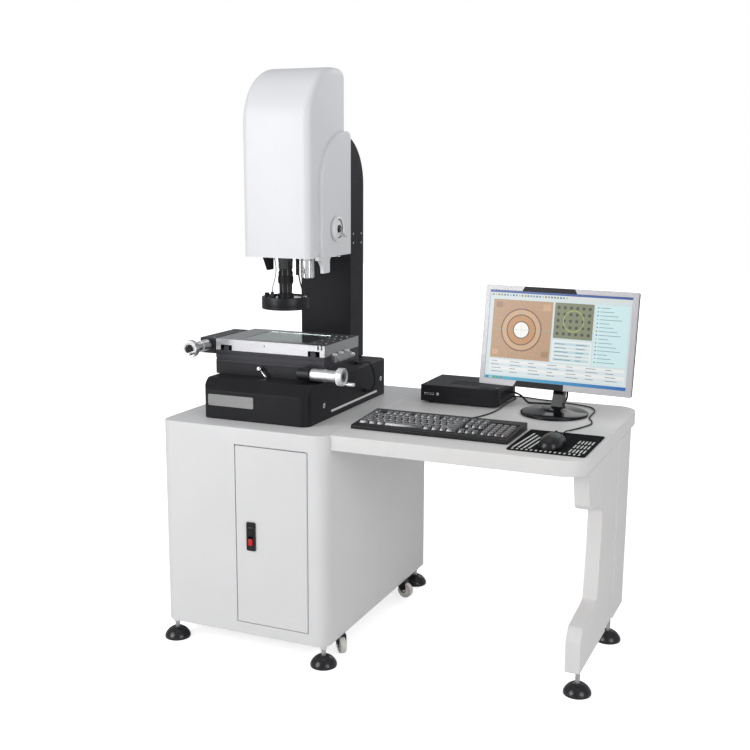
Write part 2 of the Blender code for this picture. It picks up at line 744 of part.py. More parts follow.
def caster(corner, x, y, turn):
    """Swivel fork and wheel, made about the swivel axis with the wheel trailing to -Y."""
    swivel = empty("caster_" + corner, (x, y, 0), math.radians(turn), STATION)
    crown_top = CABINET_BOTTOM - GAP
    crown_low = crown_top - CROWN_THICK
    inner = CASTER_WHEEL_W / 2 + FORK_SIDE_GAP
    outer = inner + FORK_PLATE
    crown = rounded([(-outer, -CASTER_TRAIL - 0.006, 0.004), (outer, -CASTER_TRAIL - 0.006, 0.004),
                     (outer, 0.012, 0.010), (-outer, 0.012, 0.010)], 2)
    fork = solid("caster_fork_" + corner, prism(crown, "Z", crown_low, crown_top), BLACK_PAINT,
                 parent=swivel)
    eye = 0.0065
    side = rounded([(-CASTER_TRAIL - eye, CASTER_AXLE_Z - eye, eye * 0.98),
                    (-CASTER_TRAIL + eye, CASTER_AXLE_Z - eye, eye * 0.98),
                    (0.010, crown_top - CROWN_THICK / 2, 0),
                    (-CASTER_TRAIL - 0.004, crown_top - CROWN_THICK / 2, 0)], 3)
    for edge in (-outer, inner):
        join(fork, prism(side, "X", edge, edge + FORK_PLATE))
    join(fork, rod(KINGPIN_R, (0, 0, crown_low + CROWN_THICK / 2),
                   (0, 0, CABINET_BOTTOM + SOCKET_HEIGHT - SHEET - GAP), 10))
    axle_end = outer + 0.003
    join(fork, rod(CASTER_AXLE_R, (-axle_end, -CASTER_TRAIL, CASTER_AXLE_Z),
                   (axle_end, -CASTER_TRAIL, CASTER_AXLE_Z), 10))

    bore = CASTER_AXLE_R + RUNNING
    half = CASTER_WHEEL_W / 2
    tread = [(bore, -half), (0.012, -half), (0.014, -half + 0.0025), (0.0215, -half + 0.001),
             (CASTER_WHEEL_R, -half + 0.004), (CASTER_WHEEL_R, half - 0.004), (0.0215, half - 0.001),
             (0.014, half - 0.0025), (0.012, half), (bore, half)]
    axle = (0, -CASTER_TRAIL, CASTER_AXLE_Z)
    solid("caster_wheel_" + corner, moved(turned(tread, 16, hollow=True), axle, (1, 0, 0)), NYLON,
          pivot=axle, parent=swivel)


def desk():
    """Desk board and the shaped leg panel at its right end."""
    left = CABINET_W + GAP
    board = rounded([(left, DESK_FRONT, 0), (DESK_RIGHT, DESK_FRONT, DESK_CORNER_R),
                     (DESK_RIGHT, CABINET_D, DESK_CORNER_R), (left, CABINET_D, 0)], 8)
    solid("desk_top", prism(board, "Z", DESK_UNDER, WORKTOP), WHITE_PAINT)

    top = DESK_UNDER - GAP
    side = rounded([(LEG_FRONT_TOP, top, 0), *LEG_SHOULDER, *LEG_NECK, *LEG_SHOE,
                    (LEG_FRONT_LOW, LEG_BOTTOM, 0.004), (LEG_REAR_LOW, LEG_BOTTOM, 0.004),
                    (LEG_REAR_TOP, top, 0)])
    leg = solid("desk_leg", prism(side, "X", DESK_RIGHT - LEG_THICK, DESK_RIGHT), WHITE_PAINT)
    cut(leg, box((DESK_RIGHT - LEG_FOLD_DEPTH, LEG_FOLD[0], LEG_BOTTOM - SHEET),
                 (DESK_RIGHT + SHEET, LEG_FOLD[1], top + SHEET)))
    middle = DESK_RIGHT - LEG_THICK / 2
    for y in LEG_FEET_Y:
        cut(leg, rod(STUD_R + GAP, (middle, y, LEG_BOTTOM - SHEET), (middle, y, LEG_STUD_TOP + SHEET)))


def machine_base():
    """Heavy base with a sloped front edge and the stage cable's gland on its right side."""
    plan = rounded([(BASE_LEFT, BASE_FRONT, BASE_CORNER_R), (BASE_RIGHT, BASE_FRONT, BASE_CORNER_R),
                    (BASE_RIGHT, BASE_REAR, BASE_CORNER_R), (BASE_LEFT, BASE_REAR, BASE_CORNER_R)])
    base = solid("machine_base", prism(plan, "Z", BASE_LOW, BASE_TOP), BLACK_PAINT)
    over = 0.5
    slope = [(BASE_FRONT - over * BASE_CHAMFER_RUN, BASE_TOP - (1 + over) * BASE_CHAMFER_DROP),
             (BASE_FRONT + (1 + over) * BASE_CHAMFER_RUN, BASE_TOP + over * BASE_CHAMFER_DROP),
             (BASE_FRONT - over * BASE_CHAMFER_RUN, BASE_TOP + over * BASE_CHAMFER_DROP)]
    cut(base, prism(slope, "X", BASE_LEFT - SHEET, BASE_RIGHT + SHEET))
    join(base, rod(CABLE_GLAND_R, (BASE_RIGHT - SHEET, *BASE_GLAND),
                   (BASE_RIGHT + CABLE_GLAND_OUT, *BASE_GLAND)))


def column():
    """Column with an arched back and top."""
    spring = COLUMN_REAR - COLUMN_ARC_R
    front_rise = math.sqrt(COLUMN_ARC_R ** 2 - (COLUMN_FRONT - spring) ** 2)
    start = math.atan2(front_rise, COLUMN_FRONT - spring)
    side = [(COLUMN_FRONT, BASE_TOP + GAP), (COLUMN_REAR, BASE_TOP + GAP)]
    side += arc((spring, COLUMN_ARC_Z), COLUMN_ARC_R, 0, start, 14)
    left = AXIS_X - COLUMN_W / 2
    right = AXIS_X + COLUMN_W / 2
    body = prism(side, "X", left, right)
    round_edges(body, COLUMN_EDGE_R, lambda place: place.x < left + GAP, 2)
    round_edges(body, COLUMN_EDGE_R, lambda place: place.x > right - GAP, 2)
    solid("column", body, BLACK_PAINT)


def rail_outline(x, play=0.0, root=0.0):
    """Plan of one waisted rail standing towards -Y; play widens it into the slide's slot."""
    half = RAIL_W / 2 + play
    waist = RAIL_WAIST / 2 + play
    levels = ((root, half), (-0.30 * RAIL_HEIGHT, half), (-0.45 * RAIL_HEIGHT, waist),
              (-0.62 * RAIL_HEIGHT, waist), (-0.77 * RAIL_HEIGHT, half),
              (-RAIL_HEIGHT - play, half))
    right = [(x + width, GUIDE_FRONT + depth) for depth, width in levels]
    left = [(x - width, GUIDE_FRONT + depth) for depth, width in reversed(levels)]
    return right + left


def z_guide():
    """Guide plate on the column with its two rails."""
    plate = box((AXIS_X - GUIDE_W / 2, GUIDE_FRONT, GUIDE_LOW),
                (AXIS_X + GUIDE_W / 2, GUIDE_REAR, GUIDE_TOP))
    guide = solid("z_guide", plate, SILVER)
    for x in (AXIS_X - RAIL_SPREAD / 2, AXIS_X + RAIL_SPREAD / 2):
        join(guide, prism(rail_outline(x, root=GUIDE_PLATE / 2), "Z", GUIDE_LOW, GUIDE_TOP))


def z_carriage():
    """Slide on the rails with the head's chassis plate, optics shelf and lens clamp."""
    slide = solid("z_carriage", box((AXIS_X - SLIDE_W / 2, SLIDE_FRONT, SLIDE_LOW),
                                    (AXIS_X + SLIDE_W / 2, SLIDE_REAR, SLIDE_TOP)), BLACK_PAINT)
    for x in (AXIS_X - RAIL_SPREAD / 2, AXIS_X + RAIL_SPREAD / 2):
        cut(slide, prism(rail_outline(x, RAIL_PLAY, SHEET), "Z", SLIDE_LOW - SHEET, SLIDE_TOP + SHEET))
    chassis_rear = CHASSIS_FRONT + CHASSIS_THICK
    join(slide, box((AXIS_X - SLIDE_NECK_W / 2, chassis_rear - SHEET, SLIDE_LOW + SHEET),
                    (AXIS_X + SLIDE_NECK_W / 2, SLIDE_FRONT + SHEET, SLIDE_TOP - SHEET)))
    join(slide, box((AXIS_X - CHASSIS_W / 2, CHASSIS_FRONT, SHELF_LOW + SHELF_THICK / 2),
                    (AXIS_X + CHASSIS_W / 2, chassis_rear, CHASSIS_TOP)))
    left = HOOD_LEFT + HOOD_WALL + GAP
    right = HOOD_RIGHT - HOOD_WALL - GAP
    shelf_rear = CHASSIS_FRONT + CHASSIS_THICK / 2
    shelf = rounded([(left, SHELF_FRONT, 0), (right, SHELF_FRONT, 0), (right, shelf_rear, HOOD_EDGE_R),
                     (left, shelf_rear, HOOD_EDGE_R)])
    join(slide, prism(shelf, "Z", SHELF_LOW, SHELF_LOW + SHELF_THICK))
    join(slide, box((AXIS_X - CLAMP_W / 2, LENS_Y - CLAMP_W / 2, CLAMP_LOW),
                    (AXIS_X + CLAMP_W / 2, CHASSIS_FRONT + CHASSIS_THICK / 2, CLAMP_TOP)))
    cut(slide, rod(LENS_HOLE_R, (AXIS_X, LENS_Y, SHELF_LOW - SHEET),
                   (AXIS_X, LENS_Y, SHELF_LOW + SHELF_THICK + SHEET), ROUND_STEPS))
    cut(slide, rod(LENS_BODY_R + GAP, (AXIS_X, LENS_Y, CLAMP_LOW - SHEET),
                   (AXIS_X, LENS_Y, CLAMP_TOP + SHEET), ROUND_STEPS))
    root = SHELF_LOW + SHELF_THICK / 2
    tab = rounded([(TAB_FRONT, root, 0), (TAB_FRONT, TAB_BEND_Z, 0.006), (TAB_TOE, TAB_LOW, 0.004),
                   (TAB_REAR, TAB_LOW, 0.004), (TAB_REAR, root, 0)])
    join(slide, prism(tab, "X", TAB_LEFT, TAB_LEFT + TAB_THICK))


def hood_ring(x, inset, low):
    """Side profile of the hood at one station across it, set in from the outer form."""
    front = HOOD_FRONT + inset
    top = HOOD_TOP - inset
    sweep_y = HOOD_FRONT + HOOD_SWEEP_D
    sweep_z = HOOD_TOP - HOOD_SWEEP_H
    path = [Vector((front, low))]
    path += ellipse((sweep_y, sweep_z), sweep_y - front, top - sweep_z, math.pi, math.pi / 2, 8)
    rear_r = max(HOOD_REAR_R - inset, 0.004)
    rear = HOOD_REAR - inset
    path += arc((rear - rear_r, top - rear_r), rear_r, math.pi / 2, 0, 4)
    path.append(Vector((rear, low)))
    return [(x, y, z) for y, z in path]


def hood_body(inset, low):
    """Hood's outer form, or its hollow when set in by the wall."""
    left = HOOD_LEFT + inset
    right = HOOD_RIGHT - inset
    edge = HOOD_EDGE_R - inset
    turns = [math.pi / 2 * step / 4 for step in range(5)]
    near = [(edge * (1 - math.sin(turn)), edge * (1 - math.cos(turn))) for turn in reversed(turns)]
    stations = [(left + run, inset + drop) for run, drop in near]
    stations += [(right - run, inset + drop) for run, drop in reversed(near)]
    return loft([hood_ring(x, drop, low) for x, drop in stations])


def front_cover():
    """Head hood, open underneath, with a window at the rear for the slide's neck."""
    hood = solid("front_cover", hood_body(0, HOOD_LOW), WHITE_PAINT)
    cut(hood, hood_body(HOOD_WALL, HOOD_LOW - SHEET))
    half = SLIDE_NECK_W / 2 + 0.010
    cut(hood, box((AXIS_X - half, HOOD_REAR - 4 * HOOD_WALL, SLIDE_LOW - 0.010),
                  (AXIS_X + half, HOOD_REAR + SHEET, SLIDE_TOP + 0.010)))


def cheek_outline(tab):
    """Side profile of a side cover; the right one has a tab that hangs below the hood."""
    reach = CHEEK_APEX_Y - CHEEK_FRONT
    side = ellipse((CHEEK_APEX_Y, CHEEK_SPRING_Z), reach, CHEEK_TOP - CHEEK_SPRING_Z,
                   math.pi, math.pi / 2, 10)
    shoulder = CHEEK_REAR - CHEEK_APEX_Y
    side += arc((CHEEK_APEX_Y, CHEEK_TOP - shoulder), shoulder, math.pi / 2, 0, 4)[1:]
    if not tab:
        return side + [(CHEEK_REAR, HOOD_LOW), (CHEEK_FRONT, HOOD_LOW)]
    low = HOOD_LOW - CHEEK_TAB
    side += [(CHEEK_REAR, HOOD_LOW), (CHEEK_TAB_ROOT, HOOD_LOW)]
    side += rounded([(CHEEK_TAB_REAR, HOOD_LOW, 0.008), (CHEEK_TAB_REAR, low, 0.006),
                     (CHEEK_TAB_FRONT, low, 0)])[:-1]
    side += arc((CHEEK_HOLLOW_Y, HOOD_LOW - 0.006 - CHEEK_HOLLOW_R), CHEEK_HOLLOW_R, 0, math.pi / 2, 6)
    side += [(CHEEK_HOLLOW_Y, HOOD_LOW), (CHEEK_FRONT, HOOD_LOW + 0.004)]
    return side


def side_cover(name, inner, outer, tab):
    """Arched side cover, rounded along its outer edge."""
    body = prism(cheek_outline(tab), "X", inner, outer)
    round_edges(body, CHEEK_EDGE_R, lambda place: abs(place.x - outer) < GAP, 3)
    return solid(name, body, WHITE_PAINT)


def side_covers():
    right = side_cover("side_cover_right", CHEEK_INNER, CHEEK_OUTER, True)
    cut(right, rod(Z_SHAFT_R + RUNNING, (CHEEK_INNER - SHEET, WHEEL_Y, WHEEL_Z),
                   (CHEEK_OUTER + SHEET, WHEEL_Y, WHEEL_Z), 16))
    left_inner = HOOD_LEFT - GAP
    side_cover("side_cover_left", left_inner, left_inner - CHEEK_THICK, False)


def z_handwheel():
    """Dished hand wheel with its shaft in the right side cover and a small crank knob."""
    thick = Z_WHEEL_THICK
    shaft = CHEEK_THICK
    profile = [(0, 0), (Z_SHAFT_R, 0), (Z_SHAFT_R, shaft + 0.0005), (Z_WHEEL_R - 0.004, shaft + 0.0025),
               (Z_WHEEL_R, shaft + 0.004), (Z_WHEEL_R, shaft + thick - 0.003),
               (Z_WHEEL_R - 0.002, shaft + thick), (0.030, shaft + thick),
               (0.028, shaft + thick - 0.005), (0.015, shaft + thick - 0.004),
               (0.013, shaft + thick + 0.001), (0, shaft + thick + 0.001)]
    centre = (CHEEK_INNER, WHEEL_Y, WHEEL_Z)
    wheel = solid("z_handwheel", moved(turned(profile), centre, (1, 0, 0)), SILVER, pivot=centre)
    knob = (CHEEK_OUTER + thick - 0.008, WHEEL_Y + 0.013, WHEEL_Z - 0.019)
    join(wheel, rod(0.0045, knob, (knob[0] + 0.024, *knob[1:])))


def optics():
    """Zoom lens with its ring, camera, ring light and coaxial lamp."""
    axis = (AXIS_X, LENS_Y, 0)
    tube = [(0, TUBE_LOW), (0.014, TUBE_LOW), (TUBE_R, TUBE_LOW + 0.004), (TUBE_R, ZOOM_LOW - GAP),
            (ZOOM_CORE_R, ZOOM_LOW - GAP), (ZOOM_CORE_R, ZOOM_TOP + GAP),
            (LENS_BODY_R - 0.001, ZOOM_TOP + GAP), (LENS_BODY_R, ZOOM_TOP + 0.001),
            (LENS_BODY_R, LENS_BODY_TOP), (0.017, LENS_BODY_TOP + 0.016),
            (0.015, CAMERA_LOW - 0.010), (0.015, CAMERA_LOW - GAP), (0, CAMERA_LOW - GAP)]
    solid("lens_tube", moved(turned(tube, 20), axis), BLACK_PAINT)
    bore = ZOOM_CORE_R + RUNNING
    ring = [(bore, ZOOM_LOW), (ZOOM_R - 0.001, ZOOM_LOW), (ZOOM_R, ZOOM_LOW + 0.001),
            (ZOOM_R, ZOOM_TOP - 0.001), (ZOOM_R - 0.001, ZOOM_TOP), (bore, ZOOM_TOP)]
    solid("zoom_ring", moved(turned(ring, 20, hollow=True), axis), BLACK_PLASTIC,
          pivot=(AXIS_X, LENS_Y, ZOOM_LOW))
    half = CAMERA_SIDE / 2
    camera = box((AXIS_X - half, LENS_Y - half, CAMERA_LOW),
                 (AXIS_X + half, LENS_Y + half, CAMERA_LOW + CAMERA_HEIGHT))
    solid("camera", camera, SILVER)

    collar = TUBE_R + GAP
    light = [(0.030, RING_LOW + 0.004), (0.066, RING_LOW), (RING_R, RING_LOW + 0.002),
             (RING_R, RING_TOP - 0.003), (RING_R - 0.003, RING_TOP), (0.062, RING_TOP),
             (0.058, RING_TOP - 0.004), (0.030, RING_LOW + 0.024), (collar + 0.005, RING_LOW + 0.026),
             (collar + 0.005, RING_TOP + 0.006), (collar, RING_TOP + 0.006),
             (collar, RING_LOW + 0.020), (0.016, RING_LOW + 0.018), (0.016, RING_LOW + 0.012)]
    lamp_ring = solid("ring_light", moved(turned(light, 26, hollow=True), axis), BLACK_PLASTIC)
    for x, y, top in (RING_LEFT_BOSS, RING_RIGHT_BOSS):
        join(lamp_ring, rod(RING_BOSS_R, (x, y, RING_LOW + 0.015), (x, y, top)))

    lamp_top = SHELF_LOW - GAP
    lamp = [(0, LAMP_LOW), (LAMP_R - 0.001, LAMP_LOW), (LAMP_R, LAMP_LOW + 0.001), (LAMP_R, lamp_top),
            (0, lamp_top)]
    solid("illuminator", moved(turned(lamp), (LAMP_X, LAMP_Y, 0)), SILVER)


def way_places():
    """Middle of the two X ways, in Y."""
    return STAGE_FRONT + WAY_INSET, STAGE_REAR - WAY_INSET


def stage_base():
    """Fixed lower layer with the X ways, the light well, the X drive's nose and a cable gland."""
    layer = box((STAGE_LEFT, STAGE_FRONT, STAGE_LOW), (STAGE_RIGHT, STAGE_REAR, STAGE_TOP))
    base = solid("stage_base", layer, BLACK_PAINT)
    for y in way_places():
        join(base, box((STAGE_LEFT, y - WAY_W / 2, STAGE_TOP - SHEET),
                       (STAGE_RIGHT, y + WAY_W / 2, STAGE_TOP + WAY_HEIGHT)))
    cut(base, rod(WELL_R, (AXIS_X, STAGE_Y, STAGE_TOP - WELL_DEPTH),
                  (AXIS_X, STAGE_Y, STAGE_TOP + SHEET), ROUND_STEPS))
    join(base, rod(NOSE_R, (NOSE_LEFT, NOSE_Y, NOSE_Z), (NOSE_RIGHT, NOSE_Y, NOSE_Z), ROUND_STEPS))
    join(base, box((NOSE_LEFT + SHEET, NOSE_Y, NOSE_Z - NOSE_R + SHEET / 2),
                   (NOSE_RIGHT - SHEET, STAGE_FRONT + SHEET, STAGE_TOP - SHEET / 2)))
    cut(base, rod(DRIVE_SHAFT_R + RUNNING, (NOSE_RIGHT - SHAFT_BORE_DEPTH, NOSE_Y, NOSE_Z),
                  (NOSE_RIGHT + SHEET, NOSE_Y, NOSE_Z)))
    cut(base, rod(LOCK_SHAFT_R + RUNNING, (LOCK_X, STAGE_FRONT - SHEET, LOCK_Z),
                  (LOCK_X, STAGE_FRONT + LOCK_SHAFT_DEPTH + SHEET / 2, LOCK_Z)))
    join(base, rod(STAGE_GLAND_R, (STAGE_RIGHT - SHEET, *STAGE_GLAND),
                   (STAGE_RIGHT + STAGE_GLAND_OUT, *STAGE_GLAND)))


def windowed(low, high, size):
    """Upright cutter through a layer for its light window."""
    width, depth = size
    return box((AXIS_X - width / 2, STAGE_Y - depth / 2, low),
               (AXIS_X + width / 2, STAGE_Y + depth / 2, high))


def x_carriage():
    """Middle layer: runs on the X ways, carries the Y rails."""
    layer = box((STAGE_LEFT, STAGE_FRONT, CARRIAGE_LOW), (STAGE_RIGHT, STAGE_REAR, CARRIAGE_TOP))
    carriage = solid("x_carriage", layer, BLACK_PAINT)
    for y in way_places():
        half = WAY_W / 2 + RAIL_PLAY
        cut(carriage, box((STAGE_LEFT - SHEET, y - half, CARRIAGE_LOW - SHEET),
                          (STAGE_RIGHT + SHEET, y + half, STAGE_TOP + WAY_HEIGHT + RAIL_PLAY)))
    for low, high in GROOVES:
        cut(carriage, box((STAGE_LEFT - SHEET, STAGE_FRONT - SHEET, low),
                          (STAGE_RIGHT + SHEET, STAGE_FRONT + GROOVE_DEPTH, high)))
    cut(carriage, windowed(CARRIAGE_LOW - SHEET, CARRIAGE_TOP + SHEET, CARRIAGE_WINDOW))
    for x in (STAGE_LEFT + Y_RAIL_INSET, STAGE_RIGHT - Y_RAIL_INSET - Y_RAIL_W):
        join(carriage, box((x, STAGE_FRONT, CARRIAGE_TOP - SHEET),
                           (x + Y_RAIL_W, STAGE_REAR, CARRIAGE_TOP + Y_RAIL_RISE)))


def stage_table():
    """Top plate with channels over the Y rails, and the glass in its rebate."""
    plate = box((STAGE_LEFT, TABLE_FRONT, TABLE_LOW), (STAGE_RIGHT, TABLE_REAR, TABLE_TOP))
    table = solid("stage_table", plate, SILVER)
    for x in (STAGE_LEFT + CHANNEL_INSET, STAGE_RIGHT - CHANNEL_INSET - CHANNEL_W):
        cut(table, box((x, TABLE_FRONT - SHEET, TABLE_LOW - SHEET),
                       (x + CHANNEL_W, TABLE_REAR + SHEET, TABLE_LOW + CHANNEL_HEIGHT)))
    cut(table, windowed(TABLE_LOW - SHEET, TABLE_TOP + SHEET, TABLE_WINDOW))
    width, depth, thick = GLASS
    seat = TABLE_TOP - GAP - thick
    cut(table, windowed(seat - GAP, TABLE_TOP + SHEET, (width + SHEET / 2, depth + SHEET / 2)))
    solid("stage_glass", windowed(seat, seat + thick, (width, depth)), GLASS_LOOK)


def drive_wheel(name, centre, axis, crank_side):
    """Knurled hand wheel on a drive shaft, with a recess and a crank pin in its face."""
    radius = DRIVE_WHEEL_R
    thick = DRIVE_WHEEL_THICK
    back = 0.0005
    profile = [(0, -DRIVE_SHAFT_DEPTH), (DRIVE_SHAFT_R, -DRIVE_SHAFT_DEPTH), (DRIVE_SHAFT_R, back),
               (radius - 0.007, back),
               (radius - 0.005, back + 0.006), (radius - 0.001, back + 0.008), (radius, back + 0.009),
               (radius, thick - 0.001), (radius - 0.001, thick), (0.013, thick),
               (0.012, thick - 0.010), (0, thick - 0.010)]
    wheel = solid(name, moved(turned(profile, 20), centre, axis), SILVER, pivot=centre)
    root = Vector(centre) + Vector(crank_side) * CRANK_OFFSET + Vector(axis) * (thick - 0.003)
    join(wheel, rod(CRANK_R, root, root + Vector(axis) * (CRANK_OUT + 0.003)))


def barrel(name, centre, axis, radius, length):
    """Drive barrel with a stepped collar; the wheel's shaft runs in its bore."""
    bore = DRIVE_SHAFT_R + RUNNING
    profile = [(bore, 0), (radius - 0.003, 0), (radius, 0.006), (radius, 0.60 * length),
               (radius - 0.0012, 0.61 * length), (radius - 0.0012, length), (bore, length)]
    solid(name, moved(turned(profile, 18, hollow=True), centre, axis), SILVER)


def stage_drives():
    """Hand drives: X on the fixed layer's nose, Y on the housing that rides with the X carriage."""
    start = NOSE_RIGHT + GAP
    barrel("x_barrel", (start, NOSE_Y, NOSE_Z), (1, 0, 0), X_BARREL_R, X_BARREL_END - start)
    drive_wheel("x_handwheel", (X_BARREL_END, NOSE_Y, NOSE_Z), (1, 0, 0), X_CRANK_SIDE)

    right = STAGE_LEFT - GAP
    housing = box((right - HOUSING_W, STAGE_FRONT, HOUSING_LOW), (right, HOUSING_REAR, HOUSING_TOP))
    round_edges(housing, HOUSING_EDGE_R, lambda place: place.x < right - GAP, 2)
    body = solid("y_drive_housing", housing, BLACK_PAINT)
    cut(body, rod(DRIVE_SHAFT_R + RUNNING, (Y_AXIS_X, STAGE_FRONT - SHEET, Y_AXIS_Z),
                  (Y_AXIS_X, STAGE_FRONT + SHAFT_BORE_DEPTH, Y_AXIS_Z)))
    start = STAGE_FRONT - GAP
    barrel("y_barrel", (Y_AXIS_X, start, Y_AXIS_Z), (0, -1, 0), Y_BARREL_R, start - Y_BARREL_END)
    drive_wheel("y_handwheel", (Y_AXIS_X, Y_BARREL_END, Y_AXIS_Z), (0, -1, 0), Y_CRANK_SIDE)


def stage_fittings():
    """Stage lock lever on the front and the scale reader on the right side."""
    face = STAGE_FRONT - GAP
    centre = (LOCK_X, face, LOCK_Z)
    boss = turned([(0, -LOCK_SHAFT_DEPTH), (LOCK_SHAFT_R, -LOCK_SHAFT_DEPTH), (LOCK_SHAFT_R, 0),
                   (LOCK_BOSS_R, 0), (LOCK_BOSS_R, LOCK_BOSS_OUT - 0.003),
                   (LOCK_BOSS_R - 0.002, LOCK_BOSS_OUT), (0, LOCK_BOSS_OUT)], SMALL_STEPS)
    lever = solid("lock_lever", moved(boss, centre, (0, -1, 0)), CHROME, pivot=centre)
    down = Vector((math.sin(LOCK_TURN), 0, -math.cos(LOCK_TURN)))
    root = Vector((LOCK_X, face - 0.6 * LOCK_BOSS_OUT, LOCK_Z))
    join(lever, rod(LOCK_ARM_R, root, root + down * LOCK_REACH))

    left = STAGE_RIGHT + GAP
    head = box((left, READER_FRONT, READER_LOW + 0.006),
               (left + READER_THICK, READER_REAR - READER_SLEEVE, READER_TOP))
    reader = solid("scale_reader", head, SILVER)
    middle = left + READER_ROD_R + GAP
    height = READER_LOW + 0.009
    join(reader, rod(READER_ROD_R, (middle, READER_FRONT + READER_SLEEVE, height),
                     (middle, READER_REAR - READER_TAIL, height)))
    join(reader, rod(READER_TAIL_R, (middle, READER_REAR - 2 * READER_TAIL, height),
                     (middle, READER_REAR, height)))


def pc_box():
    """Small PC with a cut front corner on four feet."""
    low = WORKTOP + GAP + PC_FOOT
    plan = [(PC_LEFT, PC_FRONT), (PC_RIGHT - PC_CUT, PC_FRONT), (PC_RIGHT, PC_FRONT + PC_CUT),
            (PC_RIGHT, PC_REAR), (PC_LEFT, PC_REAR)]
    case = solid("pc_box", prism(plan, "Z", low, low + PC_HEIGHT), BLACK_PAINT)
    for x in (PC_LEFT + PC_FOOT_INSET, PC_RIGHT - PC_FOOT_INSET):
        for y in (PC_FRONT + PC_FOOT_INSET, PC_REAR - PC_FOOT_INSET):
            join(case, rod(PC_FOOT_R, (x, y, low - PC_FOOT), (x, y, low + SHEET)))


def key_rows():
    """Each key as (left, row, width) in key pitches from the field's front left corner."""
    rows = [((0, 1.5), (1.5, 1.25), (2.75, 1.25), (4, 6), (10, 1.25), (11.25, 1.25), (12.5, 1), (13.5, 1.5)),
            ((0, 2.25), *((2.25 + n, 1) for n in range(10)), (12.25, 2.75)),
            ((0, 1.75), *((1.75 + n, 1) for n in range(11)), (12.75, 2.25)),
            ((0, 1.5), *((1.5 + n, 1) for n in range(12)), (13.5, 1.5)),
            (*((n, 1) for n in range(13)), (13, 2))]
    keys = [(left, row, width) for row, line in enumerate(rows) for left, width in line]
    for left in (0, 2, 3, 4, 5, 6.5, 7.5, 8.5, 9.5, 11, 12, 13, 14, 15.3, 16.3, 17.3):
        keys.append((left, FUNCTION_ROW, 1))
    cluster = ((15.3, 0), (16.3, 0), (17.3, 0), (16.3, 1), (15.3, 3), (16.3, 3), (17.3, 3),
               (15.3, 4), (16.3, 4), (17.3, 4))
    keys += [(left, row, 1) for left, row in cluster]
    for row in range(5):
        keys += [(18.6 + n, row, 1) for n in range(4)]
    return keys


def keyboard():
    """Wedge case with a key field: the case's top slopes up to the rear."""
    lift = WORKTOP + GAP
    slope = math.atan2(KEYBOARD_REAR_H - KEYBOARD_FRONT_H, KEYBOARD_D)
    side = rounded([(KEYBOARD_FRONT, lift, 0), (KEYBOARD_FRONT + KEYBOARD_D, lift, 0),
                    (KEYBOARD_FRONT + KEYBOARD_D, lift + KEYBOARD_REAR_H, 0.004),
                    (KEYBOARD_FRONT, lift + KEYBOARD_FRONT_H, 0.004)], 3)
    body = prism(side, "X", KEYBOARD_LEFT, KEYBOARD_LEFT + KEYBOARD_W)
    case = solid("keyboard_case", body, BLACK_PLASTIC)

    corner = Matrix.Translation((KEYBOARD_LEFT, KEYBOARD_FRONT, lift + KEYBOARD_FRONT_H))
    top = corner @ Matrix.Rotation(slope, 4, "X")
    field_w, field_d = (pitches * KEY_PITCH for pitches in KEY_FIELD)
    left = (KEYBOARD_W - field_w) / 2
    front = KEY_FIELD_FRONT
    well = box((left, front, -KEY_WELL), (left + field_w, front + field_d, 2 * KEY_WELL))
    well.transform(top)
    cut(case, well)
    bed = box((left + GAP, front + GAP, -KEY_WELL + GAP),
              (left + field_w - GAP, front + field_d - GAP, -KEY_WELL + KEY_BED))
    bed.transform(top)
    keys = solid("keyboard_keys", bed, BLACK_PLASTIC)
    caps = bmesh.new()
    for key_left, row, width in key_rows():
        x = left + (key_left + 0.5 * width) * KEY_PITCH
        y = front + (row + 0.5) * KEY_PITCH
        half = width * KEY_PITCH / 2 - (KEY_PITCH - KEY_SIZE) / 2
        shrink = (KEY_SIZE - KEY_TOP) / 2
        levels = ((-KEY_WELL + KEY_BED / 2, half, KEY_SIZE / 2),
                  (-KEY_WELL + KEY_HEIGHT, half - shrink, KEY_TOP / 2))
        corners = ((-1, -1), (1, -1), (1, 1), (-1, 1))
        rings = [[caps.verts.new((x + u * across, y + v * deep, z)) for u, v in corners]
                 for z, across, deep in levels]
        caps.faces.new(reversed(rings[0]))
        caps.faces.new(rings[1])
        for index in range(4):
            after = (index + 1) % 4
            caps.faces.new((rings[0][index], rings[0][after], rings[1][after], rings[1][index]))
    caps.transform(top)
    join(keys, caps)


def mouse():
    """Mouse pad and the mouse on it: a smooth shell, highest behind its middle."""
    low = WORKTOP + GAP
    pad = rounded([(PAD_LEFT, PAD_FRONT, 0.008), (PAD_RIGHT, PAD_FRONT, 0.008),
                   (PAD_RIGHT, PAD_REAR, 0.008), (PAD_LEFT, PAD_REAR, 0.008)], 3)
    solid("mouse_pad", prism(pad, "Z", low, low + PAD_THICK), CLOTH)
    floor = low + PAD_THICK + GAP
    rings = []
    for step in range(11):
        share = -math.cos(math.pi * (0.06 + 0.88 * step / 10))
        y = MOUSE_Y + share * MOUSE_L / 2
        swell = (1 - share ** 2) ** 0.42
        height = MOUSE_H * swell * (1 - 0.12 * share)
        half = MOUSE_W / 2 * (1 - abs(share) ** 3) ** 0.4
        ring = [(MOUSE_X + half * math.cos(a), y, floor + 0.0015 + height * max(0.0, math.sin(a)) ** 0.8)
                for a in (math.pi * turn / 10 for turn in range(11))]
        ring += [(MOUSE_X - 0.94 * half, y, floor), (MOUSE_X + 0.94 * half, y, floor)]
        rings.append(ring)
    solid("mouse", loft(rings), BLACK_PLASTIC)


